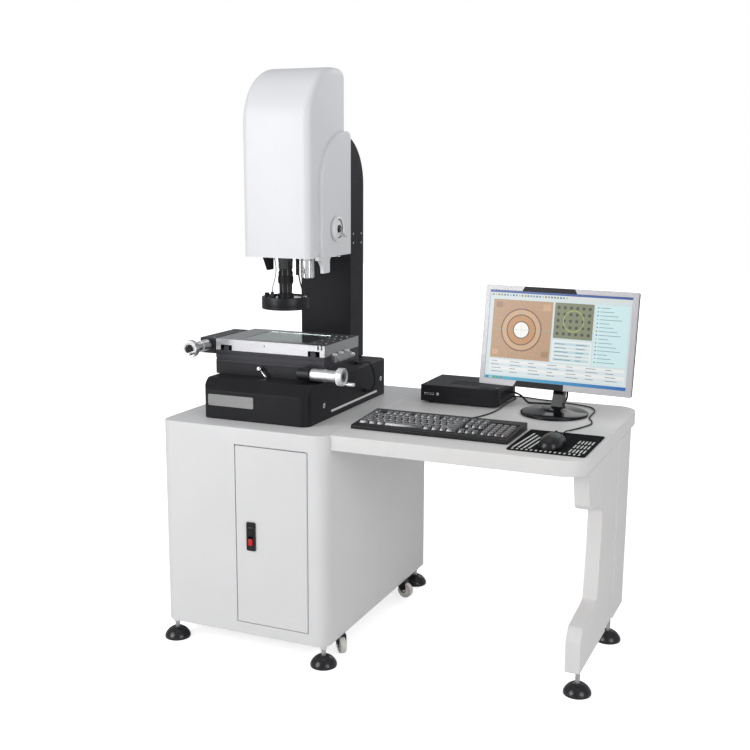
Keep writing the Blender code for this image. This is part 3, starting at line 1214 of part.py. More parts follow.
def monitor():
    """Monitor: round foot with a leaning neck, and the panel that tilts on the neck's head."""
    frame = empty("monitor", (MONITOR_X, MONITOR_Y, WORKTOP + GAP), MONITOR_TURN, STATION)
    disc = turned([(0, 0), (DISC_R - 0.002, 0), (DISC_R, 0.002), (DISC_R, 0.006), (DISC_R - 0.004, 0.010),
                   (0.040, DISC_THICK - 0.002), (0.036, DISC_THICK), (0, DISC_THICK)], 26)
    stand = solid("monitor_stand", disc, BLACK_PLASTIC, parent=frame)
    front = PIVOT_BACK - NECK_D / 2
    rear = PIVOT_BACK + NECK_D / 2
    side = rounded([(NECK_FOOT_Y, NECK_FOOT_Z, 0), (NECK_FOOT_Y + NECK_FOOT_D, NECK_FOOT_Z, 0),
                    (rear, NECK_BEND_Z, 0.030), (rear, PIVOT_Z, 0), (front, PIVOT_Z, 0),
                    (front, NECK_BEND_Z - 0.005, 0.030)])
    join(stand, prism(side, "X", -NECK_W / 2, NECK_W / 2))
    knuckle = NECK_W / 2 - 0.0005
    join(stand, rod(PIVOT_R, (-knuckle, PIVOT_BACK, PIVOT_Z), (knuckle, PIVOT_BACK, PIVOT_Z), ROUND_STEPS))
    cut(stand, rod(PIVOT_PIN_R + RUNNING, (-NECK_W, PIVOT_BACK, PIVOT_Z), (NECK_W, PIVOT_BACK, PIVOT_Z)))

    lean = Matrix.Translation((PANEL_SHIFT, PANEL_BACK, PANEL_Z)) @ Matrix.Rotation(-MONITOR_LEAN, 4, "X")
    half_w = PANEL_W / 2
    half_h = PANEL_H / 2
    front = prism(rounded([(-half_w, -half_h, 0.004), (half_w, -half_h, 0.004), (half_w, half_h, 0.004),
                           (-half_w, half_h, 0.004)], 3), "Y", 0, PANEL_THICK)
    front.transform(lean)
    pivot = (0, PIVOT_BACK, PIVOT_Z)
    panel = solid("monitor_panel", front, BLACK_PLASTIC, pivot=pivot, parent=frame)
    levels = ((PANEL_THICK - SHEET, *BULGE_ROOT), (PANEL_THICK + BULGE_RISE, *BULGE_FACE))
    back = loft([[(u * wide, depth, v * high) for u, v in ((-1, -1), (1, -1), (1, 1), (-1, 1))]
                 for depth, wide, high in levels])
    back.transform(lean)
    join(panel, back)
    ear_in = NECK_W / 2 + 0.0005
    root = PIVOT_BACK - EAR_REACH
    shape = rounded([(root, PIVOT_Z - PIVOT_R - 0.001, 0), (PIVOT_BACK + PIVOT_R, PIVOT_Z - PIVOT_R, EAR_R),
                     (PIVOT_BACK + PIVOT_R, PIVOT_Z + PIVOT_R, EAR_R), (root, PIVOT_Z + PIVOT_R + 0.004, 0)])
    for side_sign in (-1, 1):
        inner = side_sign * ear_in
        outer = side_sign * (ear_in + EAR_W)
        join(panel, prism(shape, "X", min(inner, outer), max(inner, outer)))
        join(panel, rod(PIVOT_PIN_R, (outer - side_sign * SHEET, PIVOT_BACK, PIVOT_Z),
                        (side_sign * 0.003, PIVOT_BACK, PIVOT_Z)))


def cords():
    """Stage cable, ring light wires, monitor lead, and the keyboard's and the mouse's cords."""
    gland_end = STAGE_RIGHT + STAGE_GLAND_OUT + GAP
    base_end = BASE_RIGHT + CABLE_GLAND_OUT + GAP
    stage_route = [(gland_end, *STAGE_GLAND), (gland_end + 0.010, *STAGE_GLAND), (0.4670, 0.3880, 0.8000),
                   (0.4680, 0.4130, 0.7970), (0.4680, 0.4410, 0.7760), (0.4690, 0.4560, 0.7450),
                   (0.4680, 0.4570, 0.7180), (base_end + 0.012, BASE_GLAND[0], BASE_GLAND[1] + 0.0005),
                   (base_end, *BASE_GLAND)]
    cord("stage_cable", stage_route, STAGE_CABLE_R, RUBBER, 0.009)
    under = SHELF_LOW - GAP
    left_x, left_y, left_top = RING_LEFT_BOSS
    left_route = [(0.2310, 0.2540, under), (0.2310, 0.2540, under - 0.012), (0.2330, 0.2490, 1.0700),
                  (left_x, left_y, left_top + 0.012), (left_x, left_y, left_top + GAP)]
    cord("light_wire_left", left_route, WIRE_R, GREY_PLASTIC, 0.010)
    right_x, right_y, right_top = RING_RIGHT_BOSS
    right_route = [(0.3130, 0.2600, under), (0.3130, 0.2600, under - 0.012), (0.3145, 0.2570, 1.0600),
                   (right_x, right_y, right_top + 0.012), (right_x, right_y, right_top + GAP)]
    cord("light_wire_right", right_route, WIRE_R, RUBBER, 0.010)

    coil_y = PC_REAR + GAP + COIL_THICK_R
    coil_z = WORKTOP + GAP + COIL_R + COIL_THICK_R
    for name, x in COILS.items():
        ring = [(COIL_R + COIL_THICK_R * math.cos(a), COIL_THICK_R * math.sin(a))
                for a in (2 * math.pi * turn / 8 for turn in range(8))]
        solid(name, moved(turned(ring, 16, hollow=True), (x, coil_y, coil_z), (0, 1, 0)), RUBBER)
    keyboard_rear = KEYBOARD_FRONT + KEYBOARD_D + GAP
    right_coil = COILS["keyboard_coil"] + COIL_R + COIL_THICK_R + GAP
    keyboard_route = [(0.790, keyboard_rear, WORKTOP + 0.008),
                      (0.790, keyboard_rear + 0.014, WORKTOP + 0.0075),
                      (0.7940, 0.3450, CORD_Z), (0.8050, 0.3730, CORD_Z), (0.8230, 0.4110, CORD_Z),
                      (0.8380, 0.4700, CORD_Z), (0.8425, 0.5360, CORD_Z), (0.8410, 0.6200, CORD_Z),
                      (0.8430, 0.6900, CORD_Z), (0.8430, 0.7150, CORD_Z + 0.001),
                      (0.8370, 0.7275, CORD_Z + 0.012),
                      (right_coil + 0.012, coil_y, coil_z), (right_coil, coil_y, coil_z)]
    cord("keyboard_cord", keyboard_route, CORD_R, RUBBER, 0.016)
    mouse_rear = MOUSE_Y + MOUSE_L / 2
    mouse_coil_side = COILS["mouse_coil"] + COIL_R + COIL_THICK_R + GAP
    on_pad = CORD_Z + PAD_THICK
    mouse_route = [(MOUSE_X, mouse_rear, on_pad + 0.004), (MOUSE_X, mouse_rear + 0.014, on_pad + 0.003),
                   (1.1035, 0.2450, on_pad), (1.0990, 0.2900, on_pad + 0.0005),
                   (1.1000, 0.3200, on_pad + 0.0005),
                   (1.1060, 0.3480, CORD_Z + 0.0005), (1.1230, 0.3900, CORD_Z),
                   (1.1390, 0.4470, CORD_Z), (1.1300, 0.4900, CORD_Z), (1.1170, 0.5190, CORD_Z),
                   (1.1130, 0.5700, CORD_Z), (1.1090, 0.6250, CORD_Z), (1.0850, 0.6700, CORD_Z),
                   (1.0250, 0.6950, CORD_Z), (0.9400, 0.7140, CORD_Z), (0.8700, 0.7330, CORD_Z),
                   (0.8300, 0.7385, CORD_Z), (0.7900, 0.7385, CORD_Z), (0.7540, 0.7350, CORD_Z + 0.006),
                   (mouse_coil_side + 0.014, coil_y, coil_z - 0.001), (mouse_coil_side, coil_y, coil_z)]
    cord("mouse_cord", mouse_route, CORD_R, RUBBER, 0.016)


def monitor_lead():
    """Lead from the neck's rear down to the desk and along to the PC's right side."""
    foot = Matrix.Translation((MONITOR_X, MONITOR_Y, WORKTOP + GAP))
    turn = foot @ Matrix.Rotation(MONITOR_TURN, 4, "Z")
    start = turn @ Vector((0, PIVOT_BACK + NECK_D / 2 + GAP, LEAD_START_Z))
    back = turn.to_3x3() @ Vector((0, 1, 0))
    lead_z = WORKTOP + GAP + LEAD_R + 0.001
    drops = ((0.015, 0, 0), (0.036, 0.001, 0.014), (0.050, 0.001, 0.042), (0.052, -0.001, 0.066),
             (0.050, -0.014, 0.086))
    route = [start] + [start + back * away + Vector((aside, 0, -down)) for away, aside, down in drops]
    route += [(x, y, lead_z) for x, y in LEAD_ON_DESK]
    socket_y, socket_rise = LEAD_SOCKET
    socket_z = WORKTOP + socket_rise
    route += [(PC_RIGHT + 0.038, socket_y - 0.001, WORKTOP + 0.022),
              (PC_RIGHT + GAP + 0.016, socket_y, socket_z), (PC_RIGHT + GAP, socket_y, socket_z)]
    cord("monitor_lead", route, LEAD_R, RUBBER, 0.016)


for leftover in list(bpy.data.objects):
    bpy.data.objects.remove(leftover)
MIDDLE = Vector((FOOTPRINT_LEFT + FOOTPRINT_RIGHT, FOOTPRINT_FRONT + FOOTPRINT_REAR, 0)) / 2
STATION = empty("station", -MIDDLE)
cabinet_shell()
cabinet_door()
latch()
feet()
for caster_corner, (caster_x, caster_y) in caster_places().items():
    caster(caster_corner, caster_x, caster_y, CASTER_TURN[caster_corner])
desk()
machine_base()
column()
z_guide()
z_carriage()
front_cover()
side_covers()
z_handwheel()
optics()
stage_base()
x_carriage()
stage_table()
stage_drives()
stage_fittings()
pc_box()
keyboard()
mouse()
monitor()
cords()
monitor_lead()
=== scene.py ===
"""Looks of the vision measuring machine on its workstation.

Places are written in the station frame, as in the part's source: its origin is on the floor under
the cabinet's front left corner, X runs right, Y back and Z up. STATION shifts them into the row frame."""
import math

import bmesh
import bpy
from mathutils import Matrix, Vector


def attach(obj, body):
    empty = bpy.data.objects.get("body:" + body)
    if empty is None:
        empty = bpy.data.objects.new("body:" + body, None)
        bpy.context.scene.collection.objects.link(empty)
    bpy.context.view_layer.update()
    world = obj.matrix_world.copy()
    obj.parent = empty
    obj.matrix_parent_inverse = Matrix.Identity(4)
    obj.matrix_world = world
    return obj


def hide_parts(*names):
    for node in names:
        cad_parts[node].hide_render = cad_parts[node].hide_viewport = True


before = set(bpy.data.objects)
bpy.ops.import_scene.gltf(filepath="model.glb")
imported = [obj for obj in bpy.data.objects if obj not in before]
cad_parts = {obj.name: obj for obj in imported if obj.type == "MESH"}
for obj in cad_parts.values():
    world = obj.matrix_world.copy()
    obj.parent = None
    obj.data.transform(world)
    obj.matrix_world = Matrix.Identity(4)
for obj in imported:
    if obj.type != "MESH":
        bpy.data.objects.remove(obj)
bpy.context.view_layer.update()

# Places and sizes in metres in the station frame, most of them the same as in the part's source
STATION = Vector((-0.612, -0.363, 0.0))
GAP = 0.0003
SHEET = 0.002
WORKTOP = 0.6606

CABINET_W = 0.526
CABINET_D = 0.743
CABINET_BOTTOM = 0.0585
CABINET_FRONT_R = 0.035
CABINET_REAR_R = 0.004
DOOR = (0.243, 0.472, 0.092, 0.613)             # left, right, low, top
DOOR_THICK = 0.010
DOOR_SEAM = 0.0026
HINGE = (0.4655, 0.005)
HINGE_PIN_R = 0.003
LATCH_X = 0.294

DESK_RIGHT = 1.218
DESK_FRONT = 0.029
DESK_UNDER = 0.6181
DESK_CORNER_R = 0.065
LEG_BOTTOM = 0.087
LEG_X = 1.198
FEET = {"cabinet_front_left": (0.026, 0.020), "cabinet_front_right": (0.509, 0.018),
        "cabinet_rear_left": (0.026, 0.708), "cabinet_rear_right": (0.509, 0.708),
        "desk_front": (LEG_X, 0.140), "desk_rear": (LEG_X, 0.517)}
STUD_R = 0.006
NUT_ACROSS = 0.019
NUT_HIGH = 0.0085
THREAD_LOW = 0.0315
THREAD_PITCH = 0.0016

CASTER_X = {"left": 0.018, "right": 0.508}
CASTER_Y = {"front": 0.123, "rear": 0.575}
CASTER_TURN = {"front_left": 160, "front_right": 42, "rear_left": 20, "rear_right": 84}
CASTER_TRAIL = 0.022
CASTER_AXLE_Z = 0.028
CASTER_AXLE_R = 0.003

BASE = (0.094, 0.434, 0.076, 0.632)             # left, right, front, rear
BASE_LOW = 0.6609
BASE_TOP = 0.7746
BASE_CORNER_R = 0.025
BASE_GLAND = (0.455, 0.700)
BASE_BOLTS = ((0.180, 0.705), (0.584, 0.715))
AXIS_X = 0.264
COLUMN_W = 0.172
COLUMN_FRONT = 0.536
COLUMN_REAR = 0.636
COLUMN_ARCH_R = 0.152
COLUMN_ARCH_Z = 1.318
COLUMN_BOLTS = ((0.556, 1.169), (0.614, 1.168), (0.556, 1.141), (0.614, 1.139))

HOOD_LEFT = 0.154
HOOD_RIGHT = 0.374
HOOD_FRONT = 0.217
HOOD_REAR = 0.457
HOOD_LOW = 1.115
HOOD_TOP = 1.655
HOOD_EDGE_R = 0.022
HOOD_WALL = 0.003
SHELF_LOW = 1.123
COVER_THICK = 0.0117
Z_WHEEL_Y = 0.357
Z_WHEEL_Z = 1.195

LENS_Y = 0.274
RING_LOW = 0.964
RING_TOP = 1.000
RING_BOSSES = (("left", (0.238, 0.240, 1.014)), ("right", (0.329, 0.256, 1.006)))
CLAMP_KNOB = (0.2225, 0.2360, 1.0000)
LAMP_AT = (0.322, 0.300, 0)

STAGE = (0.087, 0.441, 0.168, 0.400)            # left, right, front, rear
STAGE_Y = 0.284
STAGE_LOW = 0.7749
STAGE_WAYS = (0.190, 0.378)
STAGE_GLAND = (0.374, 0.797)
CARRIAGE_LOW = 0.8100
TABLE_LOW = 0.8448
TABLE_TOP = 0.8772
GLASS_THICK = 0.006
NOSE_Y = 0.1445
X_DRIVE_Z = 0.799
X_NOSE_END = 0.4100
X_WHEEL = (0.488, NOSE_Y, X_DRIVE_Z)
Y_DRIVE_FRONT = 0.1677
Y_WHEEL = (0.061, 0.092, 0.858)
DRIVE_BORE_R = 0.0053
LOCK_LEVER = (0.240, 0.800)
LOCK_LEVER_LEAN = 42

PC = (0.590, 0.835, 0.535, 0.722)               # left, right, front, rear
PC_FEET = 0.006
PC_LOW = WORKTOP + GAP + PC_FEET
PC_TOP = PC_LOW + 0.0504
PAD = (1.003, 1.208, 0.076, 0.314)              # left, right, front, rear
PAD_THICK = 0.0027
MOUSE = (1.105, 0.155, 0.062, 0.115, 0.033)     # middle x and y, width, length, height
KEYBOARD = (0.543, 0.450, 0.1245, 0.188)        # left, width, front, depth
KEYBOARD_FRONT_HIGH = 0.011
KEYBOARD_REAR_HIGH = 0.0217
KEY_PITCH = 0.019
KEYS_FRONT = 0.030
MONITOR = Matrix.Translation((1.008, 0.5416, WORKTOP + GAP)) @ Matrix.Rotation(-0.083, 4, "Z")
PANEL = MONITOR @ Matrix.Translation((-0.010, 0.0265, 0.2171)) @ Matrix.Rotation(-0.146, 4, "X")
PANEL_HALF_W = 0.233
PANEL_HALF_H = 0.1495
SCREEN = (-0.217, 0.216, -0.131, 0.1345)        # left, right, low, top
PIVOT_BACK = 0.050
PIVOT_Z = 0.105

CORD_R = 0.0019
CORD_Z = WORKTOP + 2 * GAP + CORD_R
CABLE_R = 0.003
COIL_PITCH = 0.00405
COIL_FRONT = PC[3] + 0.0022
KEYBOARD_CORD_X = 0.790
KEYBOARD_COIL = (0.02295, 0.0190, 0.01505, 0.0111)      # radius of each layer, and of the end
MOUSE_COIL_X = 0.700
MOUSE_COIL = (0.02098, 0.01702, 0.01307)

# The photograph's camera, in the world
CAMERA_PLACE = (1.19667, -2.95825, 1.3665)
CAMERA_YAW = 23.683
CAMERA_PITCH = -10.485
CAMERA_ROLL = 0.225
CAMERA_LENS = 53.41

# Lamps: place, aim, width, height of an upright strip or 0 for a round one, watts
LAMPS = {"strip_left": ((-1.72, -2.95, 1.0), (0, 0, 1.0), 0.34, 2.2, 11.0),
         "strip_right": ((2.45, -1.55, 1.0), (0, 0, 1.0), 0.34, 2.2, 6.0),
         "key_left": ((-2.2, -3.2, 2.3), (0, 0, 0.8), 2.6, 0, 71.0),
         "fill_right": ((3.4, -2.2, 2.0), (0.2, 0, 0.8), 2.6, 0, 43.0),
         "top": ((0.0, -0.2, 4.2), (0, 0, 0), 3.2, 0, 10.0),
         "rear": ((0.5, 3.2, 2.6), (0, 0, 0.9), 2.4, 0, 15.0)}


def socket(tree, way, kind, label, value=None):
    """Named socket on a node group."""
    made = tree.interface.new_socket(label, in_out=way, socket_type=kind)
    if value is not None:
        made.default_value = value


def wire(tree, *pairs):
    for out, into in pairs:
        tree.links.new(out, into)


def node(tree, kind, **fields):
    made = tree.nodes.new(kind)
    for field, value in fields.items():
        setattr(made, field, value)
    return made


def maths(tree, operation, first, second):
    """Maths node whose inputs are sockets or numbers."""
    made = node(tree, "ShaderNodeMath", operation=operation)
    for slot, value in zip(made.inputs, (first, second)):
        if isinstance(value, bpy.types.NodeSocket):
            tree.links.new(value, slot)
        else:
            slot.default_value = value
    return made.outputs[0]


def surface_group(name, directional):
    """Group for a surface's fine texture: colour that drifts a little, uneven gloss and a bumped normal."""
    tree = bpy.data.node_groups.new(name, "ShaderNodeTree")
    for kind, label, value in (("NodeSocketColor", "Colour", (0.5, 0.5, 0.5, 1)),
                               ("NodeSocketColor", "Drift", (0.4, 0.4, 0.4, 1)),
                               ("NodeSocketVector", "Stretch", (1, 1, 1)),
                               ("NodeSocketFloat", "Grain", 500.0), ("NodeSocketFloat", "Height", 0.2),
                               ("NodeSocketFloat", "Gloss", 0.4), ("NodeSocketFloat", "Spread", 0.05),
                               ("NodeSocketFloat", "Patch", 9.0)):
        socket(tree, "INPUT", kind, label, value)
    for kind, label in (("NodeSocketColor", "Colour"), ("NodeSocketFloat", "Roughness"),
                        ("NodeSocketVector", "Normal")):
        socket(tree, "OUTPUT", kind, label)
    given = node(tree, "NodeGroupInput").outputs
    result = node(tree, "NodeGroupOutput").inputs
    place = node(tree, "ShaderNodeTexCoord").outputs["Object"]
    stretched = node(tree, "ShaderNodeVectorMath", operation="MULTIPLY")
    fine = node(tree, "ShaderNodeTexNoise")
    fine.inputs["Detail"].default_value = 3.0
    broad = node(tree, "ShaderNodeTexNoise")
    broad.inputs["Detail"].default_value = 2.0
    tint = node(tree, "ShaderNodeMix", data_type="RGBA")
    bump = node(tree, "ShaderNodeBump")
    bump.inputs["Distance"].default_value = 0.0004
    wire(tree, (place, stretched.inputs[0]), (given["Stretch"], stretched.inputs[1]),
         (stretched.outputs[0], fine.inputs["Vector"]), (given["Grain"], fine.inputs["Scale"]),
         (place, broad.inputs["Vector"]), (given["Patch"], broad.inputs["Scale"]),
         (given["Colour"], tint.inputs["A"]), (given["Drift"], tint.inputs["B"]),
         (fine.outputs["Fac"], bump.inputs["Height"]), (given["Height"], bump.inputs["Strength"]),
         (tint.outputs["Result"], result["Colour"]), (bump.outputs["Normal"], result["Normal"]))
    blotch = fine.outputs["Fac"] if directional else broad.outputs["Fac"]
    sharper = maths(tree, "MULTIPLY_ADD", blotch, 1.6)
    sharper.node.inputs[2].default_value = -0.3
    wire(tree, (sharper, tint.inputs["Factor"]))
    swing = maths(tree, "SUBTRACT", blotch, 0.5)
    uneven = maths(tree, "MULTIPLY", swing, given["Spread"])
    wire(tree, (maths(tree, "ADD", given["Gloss"], uneven), result["Roughness"]))
    return tree


COATED = surface_group("coated_surface", False)
DRAWN = surface_group("drawn_metal_surface", True)


def blank(name, **fixed):
    """New material with its tree and its shader, whose plain values are set here."""
    made = bpy.data.materials.new(name)
    made.use_nodes = True
    shader = made.node_tree.nodes["Principled BSDF"]
    for label, value in fixed.items():
        shader.inputs[label.replace("_", " ")].default_value = value
    return made, made.node_tree, shader


def finish(name, colour, gloss, group=COATED, drift=0.93, grain=900.0, height=0.15, spread=0.08,
           stretch=(1, 1, 1), patch=9.0, **fixed):
    """Material of one finish: the group gives what varies over it, the rest is set on the shader."""
    made, tree, shader = blank(name, **fixed)
    texture = node(tree, "ShaderNodeGroup", node_tree=group)
    values = {"Colour": (*colour, 1), "Drift": (*(channel * drift for channel in colour), 1), "Grain": grain,
              "Height": height, "Gloss": gloss, "Spread": spread, "Stretch": stretch, "Patch": patch}
    for label, value in values.items():
        texture.inputs[label].default_value = value
    wire(tree, (texture.outputs["Colour"], shader.inputs["Base Color"]),
         (texture.outputs["Roughness"], shader.inputs["Roughness"]),
         (texture.outputs["Normal"], shader.inputs["Normal"]))
    made.diffuse_color = (*colour, 1)
    return made


POWDER_WHITE = finish("powder_white", (0.76, 0.755, 0.757), 0.34, grain=1300, height=0.10, drift=0.975)
BOARD_WHITE = finish("board_white", (0.79, 0.775, 0.765), 0.38, grain=1100, height=0.12, drift=0.975)
COVER_WHITE = finish("cover_white", (0.81, 0.81, 0.83), 0.30, grain=700, height=0.05, drift=0.98,
                     Specular_IOR_Level=0.35)
CRINKLE_BLACK = finish("crinkle_black", (0.009, 0.009, 0.011), 0.46, grain=1500, height=0.7, drift=1.9,
                       Specular_IOR_Level=0.20)
SATIN_BLACK = finish("satin_black", (0.010, 0.010, 0.012), 0.34, grain=1600, height=0.25, drift=1.6,
                     Specular_IOR_Level=0.30)
ANODISED = finish("black_anodised", (0.024, 0.024, 0.030), 0.36, DRAWN, drift=1.5, grain=1, height=0.12,
                  stretch=(14, 1800, 1800), Metallic=0.35)
MOULDED_BLACK = finish("moulded_black", (0.011, 0.011, 0.012), 0.40, grain=2200, height=0.35, drift=1.5,
                       Specular_IOR_Level=0.26)
GLOSS_BLACK = finish("gloss_black", (0.008, 0.008, 0.009), 0.10, grain=400, height=0.02, drift=1.2,
                     spread=0.03, Specular_IOR_Level=0.28)
LENS_BLACK = finish("lens_black", (0.005, 0.005, 0.006), 0.12, grain=1600, height=0.05, drift=1.5,
                    spread=0.03, Specular_IOR_Level=0.75)
FOOT_BLACK = finish("foot_black", (0.010, 0.010, 0.012), 0.22, grain=900, height=0.10, drift=1.5)
RUBBER = finish("black_rubber", (0.012, 0.012, 0.013), 0.58, grain=1400, height=0.4, drift=1.5,
                Specular_IOR_Level=0.34)
MILLED = finish("milled_aluminium", (0.50, 0.50, 0.515), 0.32, DRAWN, drift=0.90, grain=1, height=0.10,
                stretch=(20, 1500, 1500), spread=0.18, Metallic=1.0)
TURNED_X = finish("turned_aluminium_x", (0.88, 0.88, 0.89), 0.36, DRAWN, drift=0.92, grain=1, height=0.10,
                  stretch=(2600, 25, 25), spread=0.15, Metallic=1.0)
TURNED_Y = finish("turned_aluminium_y", (0.88, 0.88, 0.89), 0.36, DRAWN, drift=0.92, grain=1, height=0.10,
                  stretch=(25, 2600, 25), spread=0.15, Metallic=1.0)
TURNED_Z = finish("turned_aluminium_z", (0.88, 0.88, 0.89), 0.36, DRAWN, drift=0.92, grain=1, height=0.10,
                  stretch=(25, 25, 2600), spread=0.15, Metallic=1.0)
BRIGHT_STEEL = finish("bright_steel", (0.84, 0.84, 0.85), 0.14, grain=300, height=0.03,
                      spread=0.08, Metallic=1.0)
GROUND_STEEL = finish("ground_steel", (0.62, 0.62, 0.63), 0.28, DRAWN, drift=0.9, grain=1, height=0.1,
                      stretch=(900, 900, 12), spread=0.12, Metallic=1.0)
SILVER_PAINT = finish("silver_paint", (0.50, 0.49, 0.51), 0.36, grain=2600, height=0.12, drift=0.95,
                      Metallic=0.35)
WHEEL_WHITE = finish("wheel_silver", (0.93, 0.93, 0.93), 0.30, DRAWN, drift=0.95, grain=1, height=0.08,
                     stretch=(2600, 25, 25), spread=0.1, Metallic=0.15)
NAME_PLATE = finish("name_plate_brushed", (0.27, 0.27, 0.27), 0.34, DRAWN, drift=0.82, grain=1, height=0.10,
                    stretch=(18, 1500, 1500), spread=0.12, Metallic=0.85)
GREY_PLASTIC = finish("grey_plastic", (0.42, 0.42, 0.43), 0.40, grain=1500, height=0.2)
RED_PLASTIC = finish("red_plastic", (0.58, 0.004, 0.006), 0.28, grain=1500, height=0.1)
WHITE_PLASTIC = finish("white_plastic", (0.82, 0.82, 0.80), 0.36, grain=1500, height=0.1)
NYLON = finish("milky_nylon", (0.78, 0.77, 0.72), 0.36, grain=500, height=0.1, drift=0.92,
               Subsurface_Weight=0.25, Subsurface_Scale=0.004)
# Dark fill: the colour of dark parts such as socket tongues and the screen's backing, and painted shade where
# it lines the Z wheel's creases and the hand wheels' recesses
DARK_PARTS_AND_SHADE = finish("dark_parts_and_painted_shade", (0.006, 0.006, 0.006), 0.7, grain=900, height=0.1)
# Painted light: the LED board glows faintly to brighten the shaded inside of the ring light's bowl
LED_BOARD_PAINTED_GLOW = finish("led_board_painted_glow", (0.84, 0.85, 0.86), 0.35, grain=900, height=0.05, Emission_Color=(1, 1, 1, 1),
                   Emission_Strength=0.22)
LED_WHITE = finish("led_white", (0.86, 0.87, 0.88), 0.25, grain=900, height=0.05, spread=0.04)
GREY_PRINT = finish("grey_print", (0.78, 0.78, 0.78), 0.6, grain=2600, height=0.2, drift=0.8)
KEY_BLACK = finish("key_black", (0.052, 0.052, 0.058), 0.22, grain=1900, height=0.12, drift=1.4, spread=0.06,
                   Specular_IOR_Level=0.8, Coat_Weight=1.0, Coat_Roughness=0.2)
MOUSE_BLACK = finish("mouse_black", (0.007, 0.007, 0.008), 0.28, grain=2400, height=0.18,
                     drift=1.4, spread=0.06)


def rounded(corners, steps=8):
    """Outline through corners (u, v, radius), each corner an arc of its radius."""
    outline = []
    for index, (u, v, radius) in enumerate(corners):
        corner = Vector((u, v))
        if radius == 0:
            outline.append(corner)
            continue
        before = (Vector(corners[index - 1][:2]) - corner).normalized()
        after = (Vector(corners[(index + 1) % len(corners)][:2]) - corner).normalized()
        half = before.angle(after) / 2
        centre = corner + (before + after).normalized() * radius / math.sin(half)
        first = corner + before * radius / math.tan(half) - centre
        last = corner + after * radius / math.tan(half) - centre
        outline += arc(centre, radius, math.atan2(first.y, first.x), math.atan2(last.y, last.x), steps)
    return outline


def arc(centre, radius, start, end, steps):
    """Points of the shorter arc between two angles."""
    sweep = (end - start + math.pi) % (2 * math.pi) - math.pi
    return [Vector((centre[0] + radius * math.cos(start + sweep * step / steps),
                    centre[1] + radius * math.sin(start + sweep * step / steps)))
            for step in range(steps + 1)]


def ellipse(centre, across, up, start, end, steps):
    """Points of an ellipse's arc from one angle to another."""
    return [Vector((centre[0] + across * math.cos(start + (end - start) * step / steps),
                    centre[1] + up * math.sin(start + (end - start) * step / steps)))
            for step in range(steps + 1)]


def rectangle(left, right, low, high, radius=0.0, steps=6):
    corners = ((left, low), (right, low), (right, high), (left, high))
    return rounded([(*corner, radius) for corner in corners], steps)


def loft(rings, ends=True):
    """Skin through rings of points, closed by a flat face at each end."""
    mesh = bmesh.new()
    loops = [[mesh.verts.new(point) for point in ring] for ring in rings]
    count = len(loops[0])
    for near, far in zip(loops, loops[1:]):
        for index in range(count):
            after = (index + 1) % count
            mesh.faces.new((near[index], near[after], far[after], far[index]))
    if ends:
        mesh.faces.new(loops[0])
        mesh.faces.new(loops[-1])
    bmesh.ops.recalc_face_normals(mesh, faces=mesh.faces)
    return mesh


def prism(outline, axis, low, high):
    """Outline extruded along an axis: (y, z) along X, (x, z) along Y, (x, y) along Z."""
    place = {"X": lambda u, v, w: (w, u, v),
             "Y": lambda u, v, w: (u, w, v),
             "Z": lambda u, v, w: (u, v, w)}[axis]
    return loft([[place(u, v, w) for u, v in outline] for w in (low, high)])


def box(left, right, front, rear, low, high):
    return prism([(left, front), (right, front), (right, rear), (left, rear)], "Z", low, high)


def turned(profile, steps=64, hollow=False):
    """Profile (radius, height) turned about Z; a hollow one closes on itself."""
    mesh = bmesh.new()
    rings = []
    for radius, height in profile:
        if radius == 0:
            rings.append([mesh.verts.new((0, 0, height))] * steps)
            continue
        rings.append([mesh.verts.new((radius * math.cos(2 * math.pi * step / steps),
                                      radius * math.sin(2 * math.pi * step / steps), height))
                      for step in range(steps)])
    pairs = list(zip(rings, rings[1:]))
    if hollow:
        pairs.append((rings[-1], rings[0]))
    for near, far in pairs:
        for index in range(steps):
            after = (index + 1) % steps
            corners = [near[index], near[after], far[after], far[index]]
            mesh.faces.new([corner for order, corner in enumerate(corners) if corner not in corners[:order]])
    bmesh.ops.recalc_face_normals(mesh, faces=mesh.faces)
    return mesh


def aimed(mesh, place, axis=(0, 0, 1)):
    """Mesh made about Z, aimed along an axis and put at its place."""
    aim = Vector((0, 0, 1)).rotation_difference(Vector(axis)).to_matrix().to_4x4()
    mesh.transform(Matrix.Translation(place) @ aim)
    return mesh


def rod(radius, start, end, steps=32, chamfer=0.0):
    """Round bar between two points, with a small chamfer at its ends."""
    start = Vector(start)
    run = Vector(end) - start
    cut = min(chamfer, radius / 2)
    profile = [(0, 0), (radius - cut, 0), (radius, cut), (radius, run.length - cut),
               (radius - cut, run.length),
               (0, run.length)] if cut else [(0, 0), (radius, 0), (radius, run.length), (0, run.length)]
    return aimed(turned(profile, steps), start, run.normalized())


def gathered(*meshes):
    """Several closed bodies in one mesh."""
    whole = bmesh.new()
    for mesh in meshes:
        data = bpy.data.meshes.new("part")
        mesh.to_mesh(data)
        mesh.free()
        whole.from_mesh(data)
        bpy.data.meshes.remove(data)
    return whole


def as_object(name, mesh):
    data = bpy.data.meshes.new(name)
    mesh.to_mesh(data)
    mesh.free()
    made = bpy.data.objects.new(name, data)
    bpy.context.scene.collection.objects.link(made)
    return made


def settled(made):
    """Modifiers of an object worked into its mesh, and the object removed."""
    graph = bpy.context.evaluated_depsgraph_get()
    data = bpy.data.meshes.new_from_object(made.evaluated_get(graph))
    mesh = bmesh.new()
    mesh.from_mesh(data)
    bpy.data.meshes.remove(data)
    bpy.data.objects.remove(made)
    return mesh


def worked(mesh, cuts=(), joins=()):
    """Mesh after its cuts and joins."""
    made = as_object("work", mesh)
    tools = []
    for operation, meshes in (("UNION", joins), ("DIFFERENCE", cuts)):
        for tool_mesh in meshes:
            tool = as_object("tool", tool_mesh)
            step = made.modifiers.new("step", "BOOLEAN")
            step.operation = operation
            step.solver = "EXACT"
            step.object = tool
            tools.append(tool)
    result = settled(made)
    for tool in tools:
        bpy.data.objects.remove(tool)
    return result


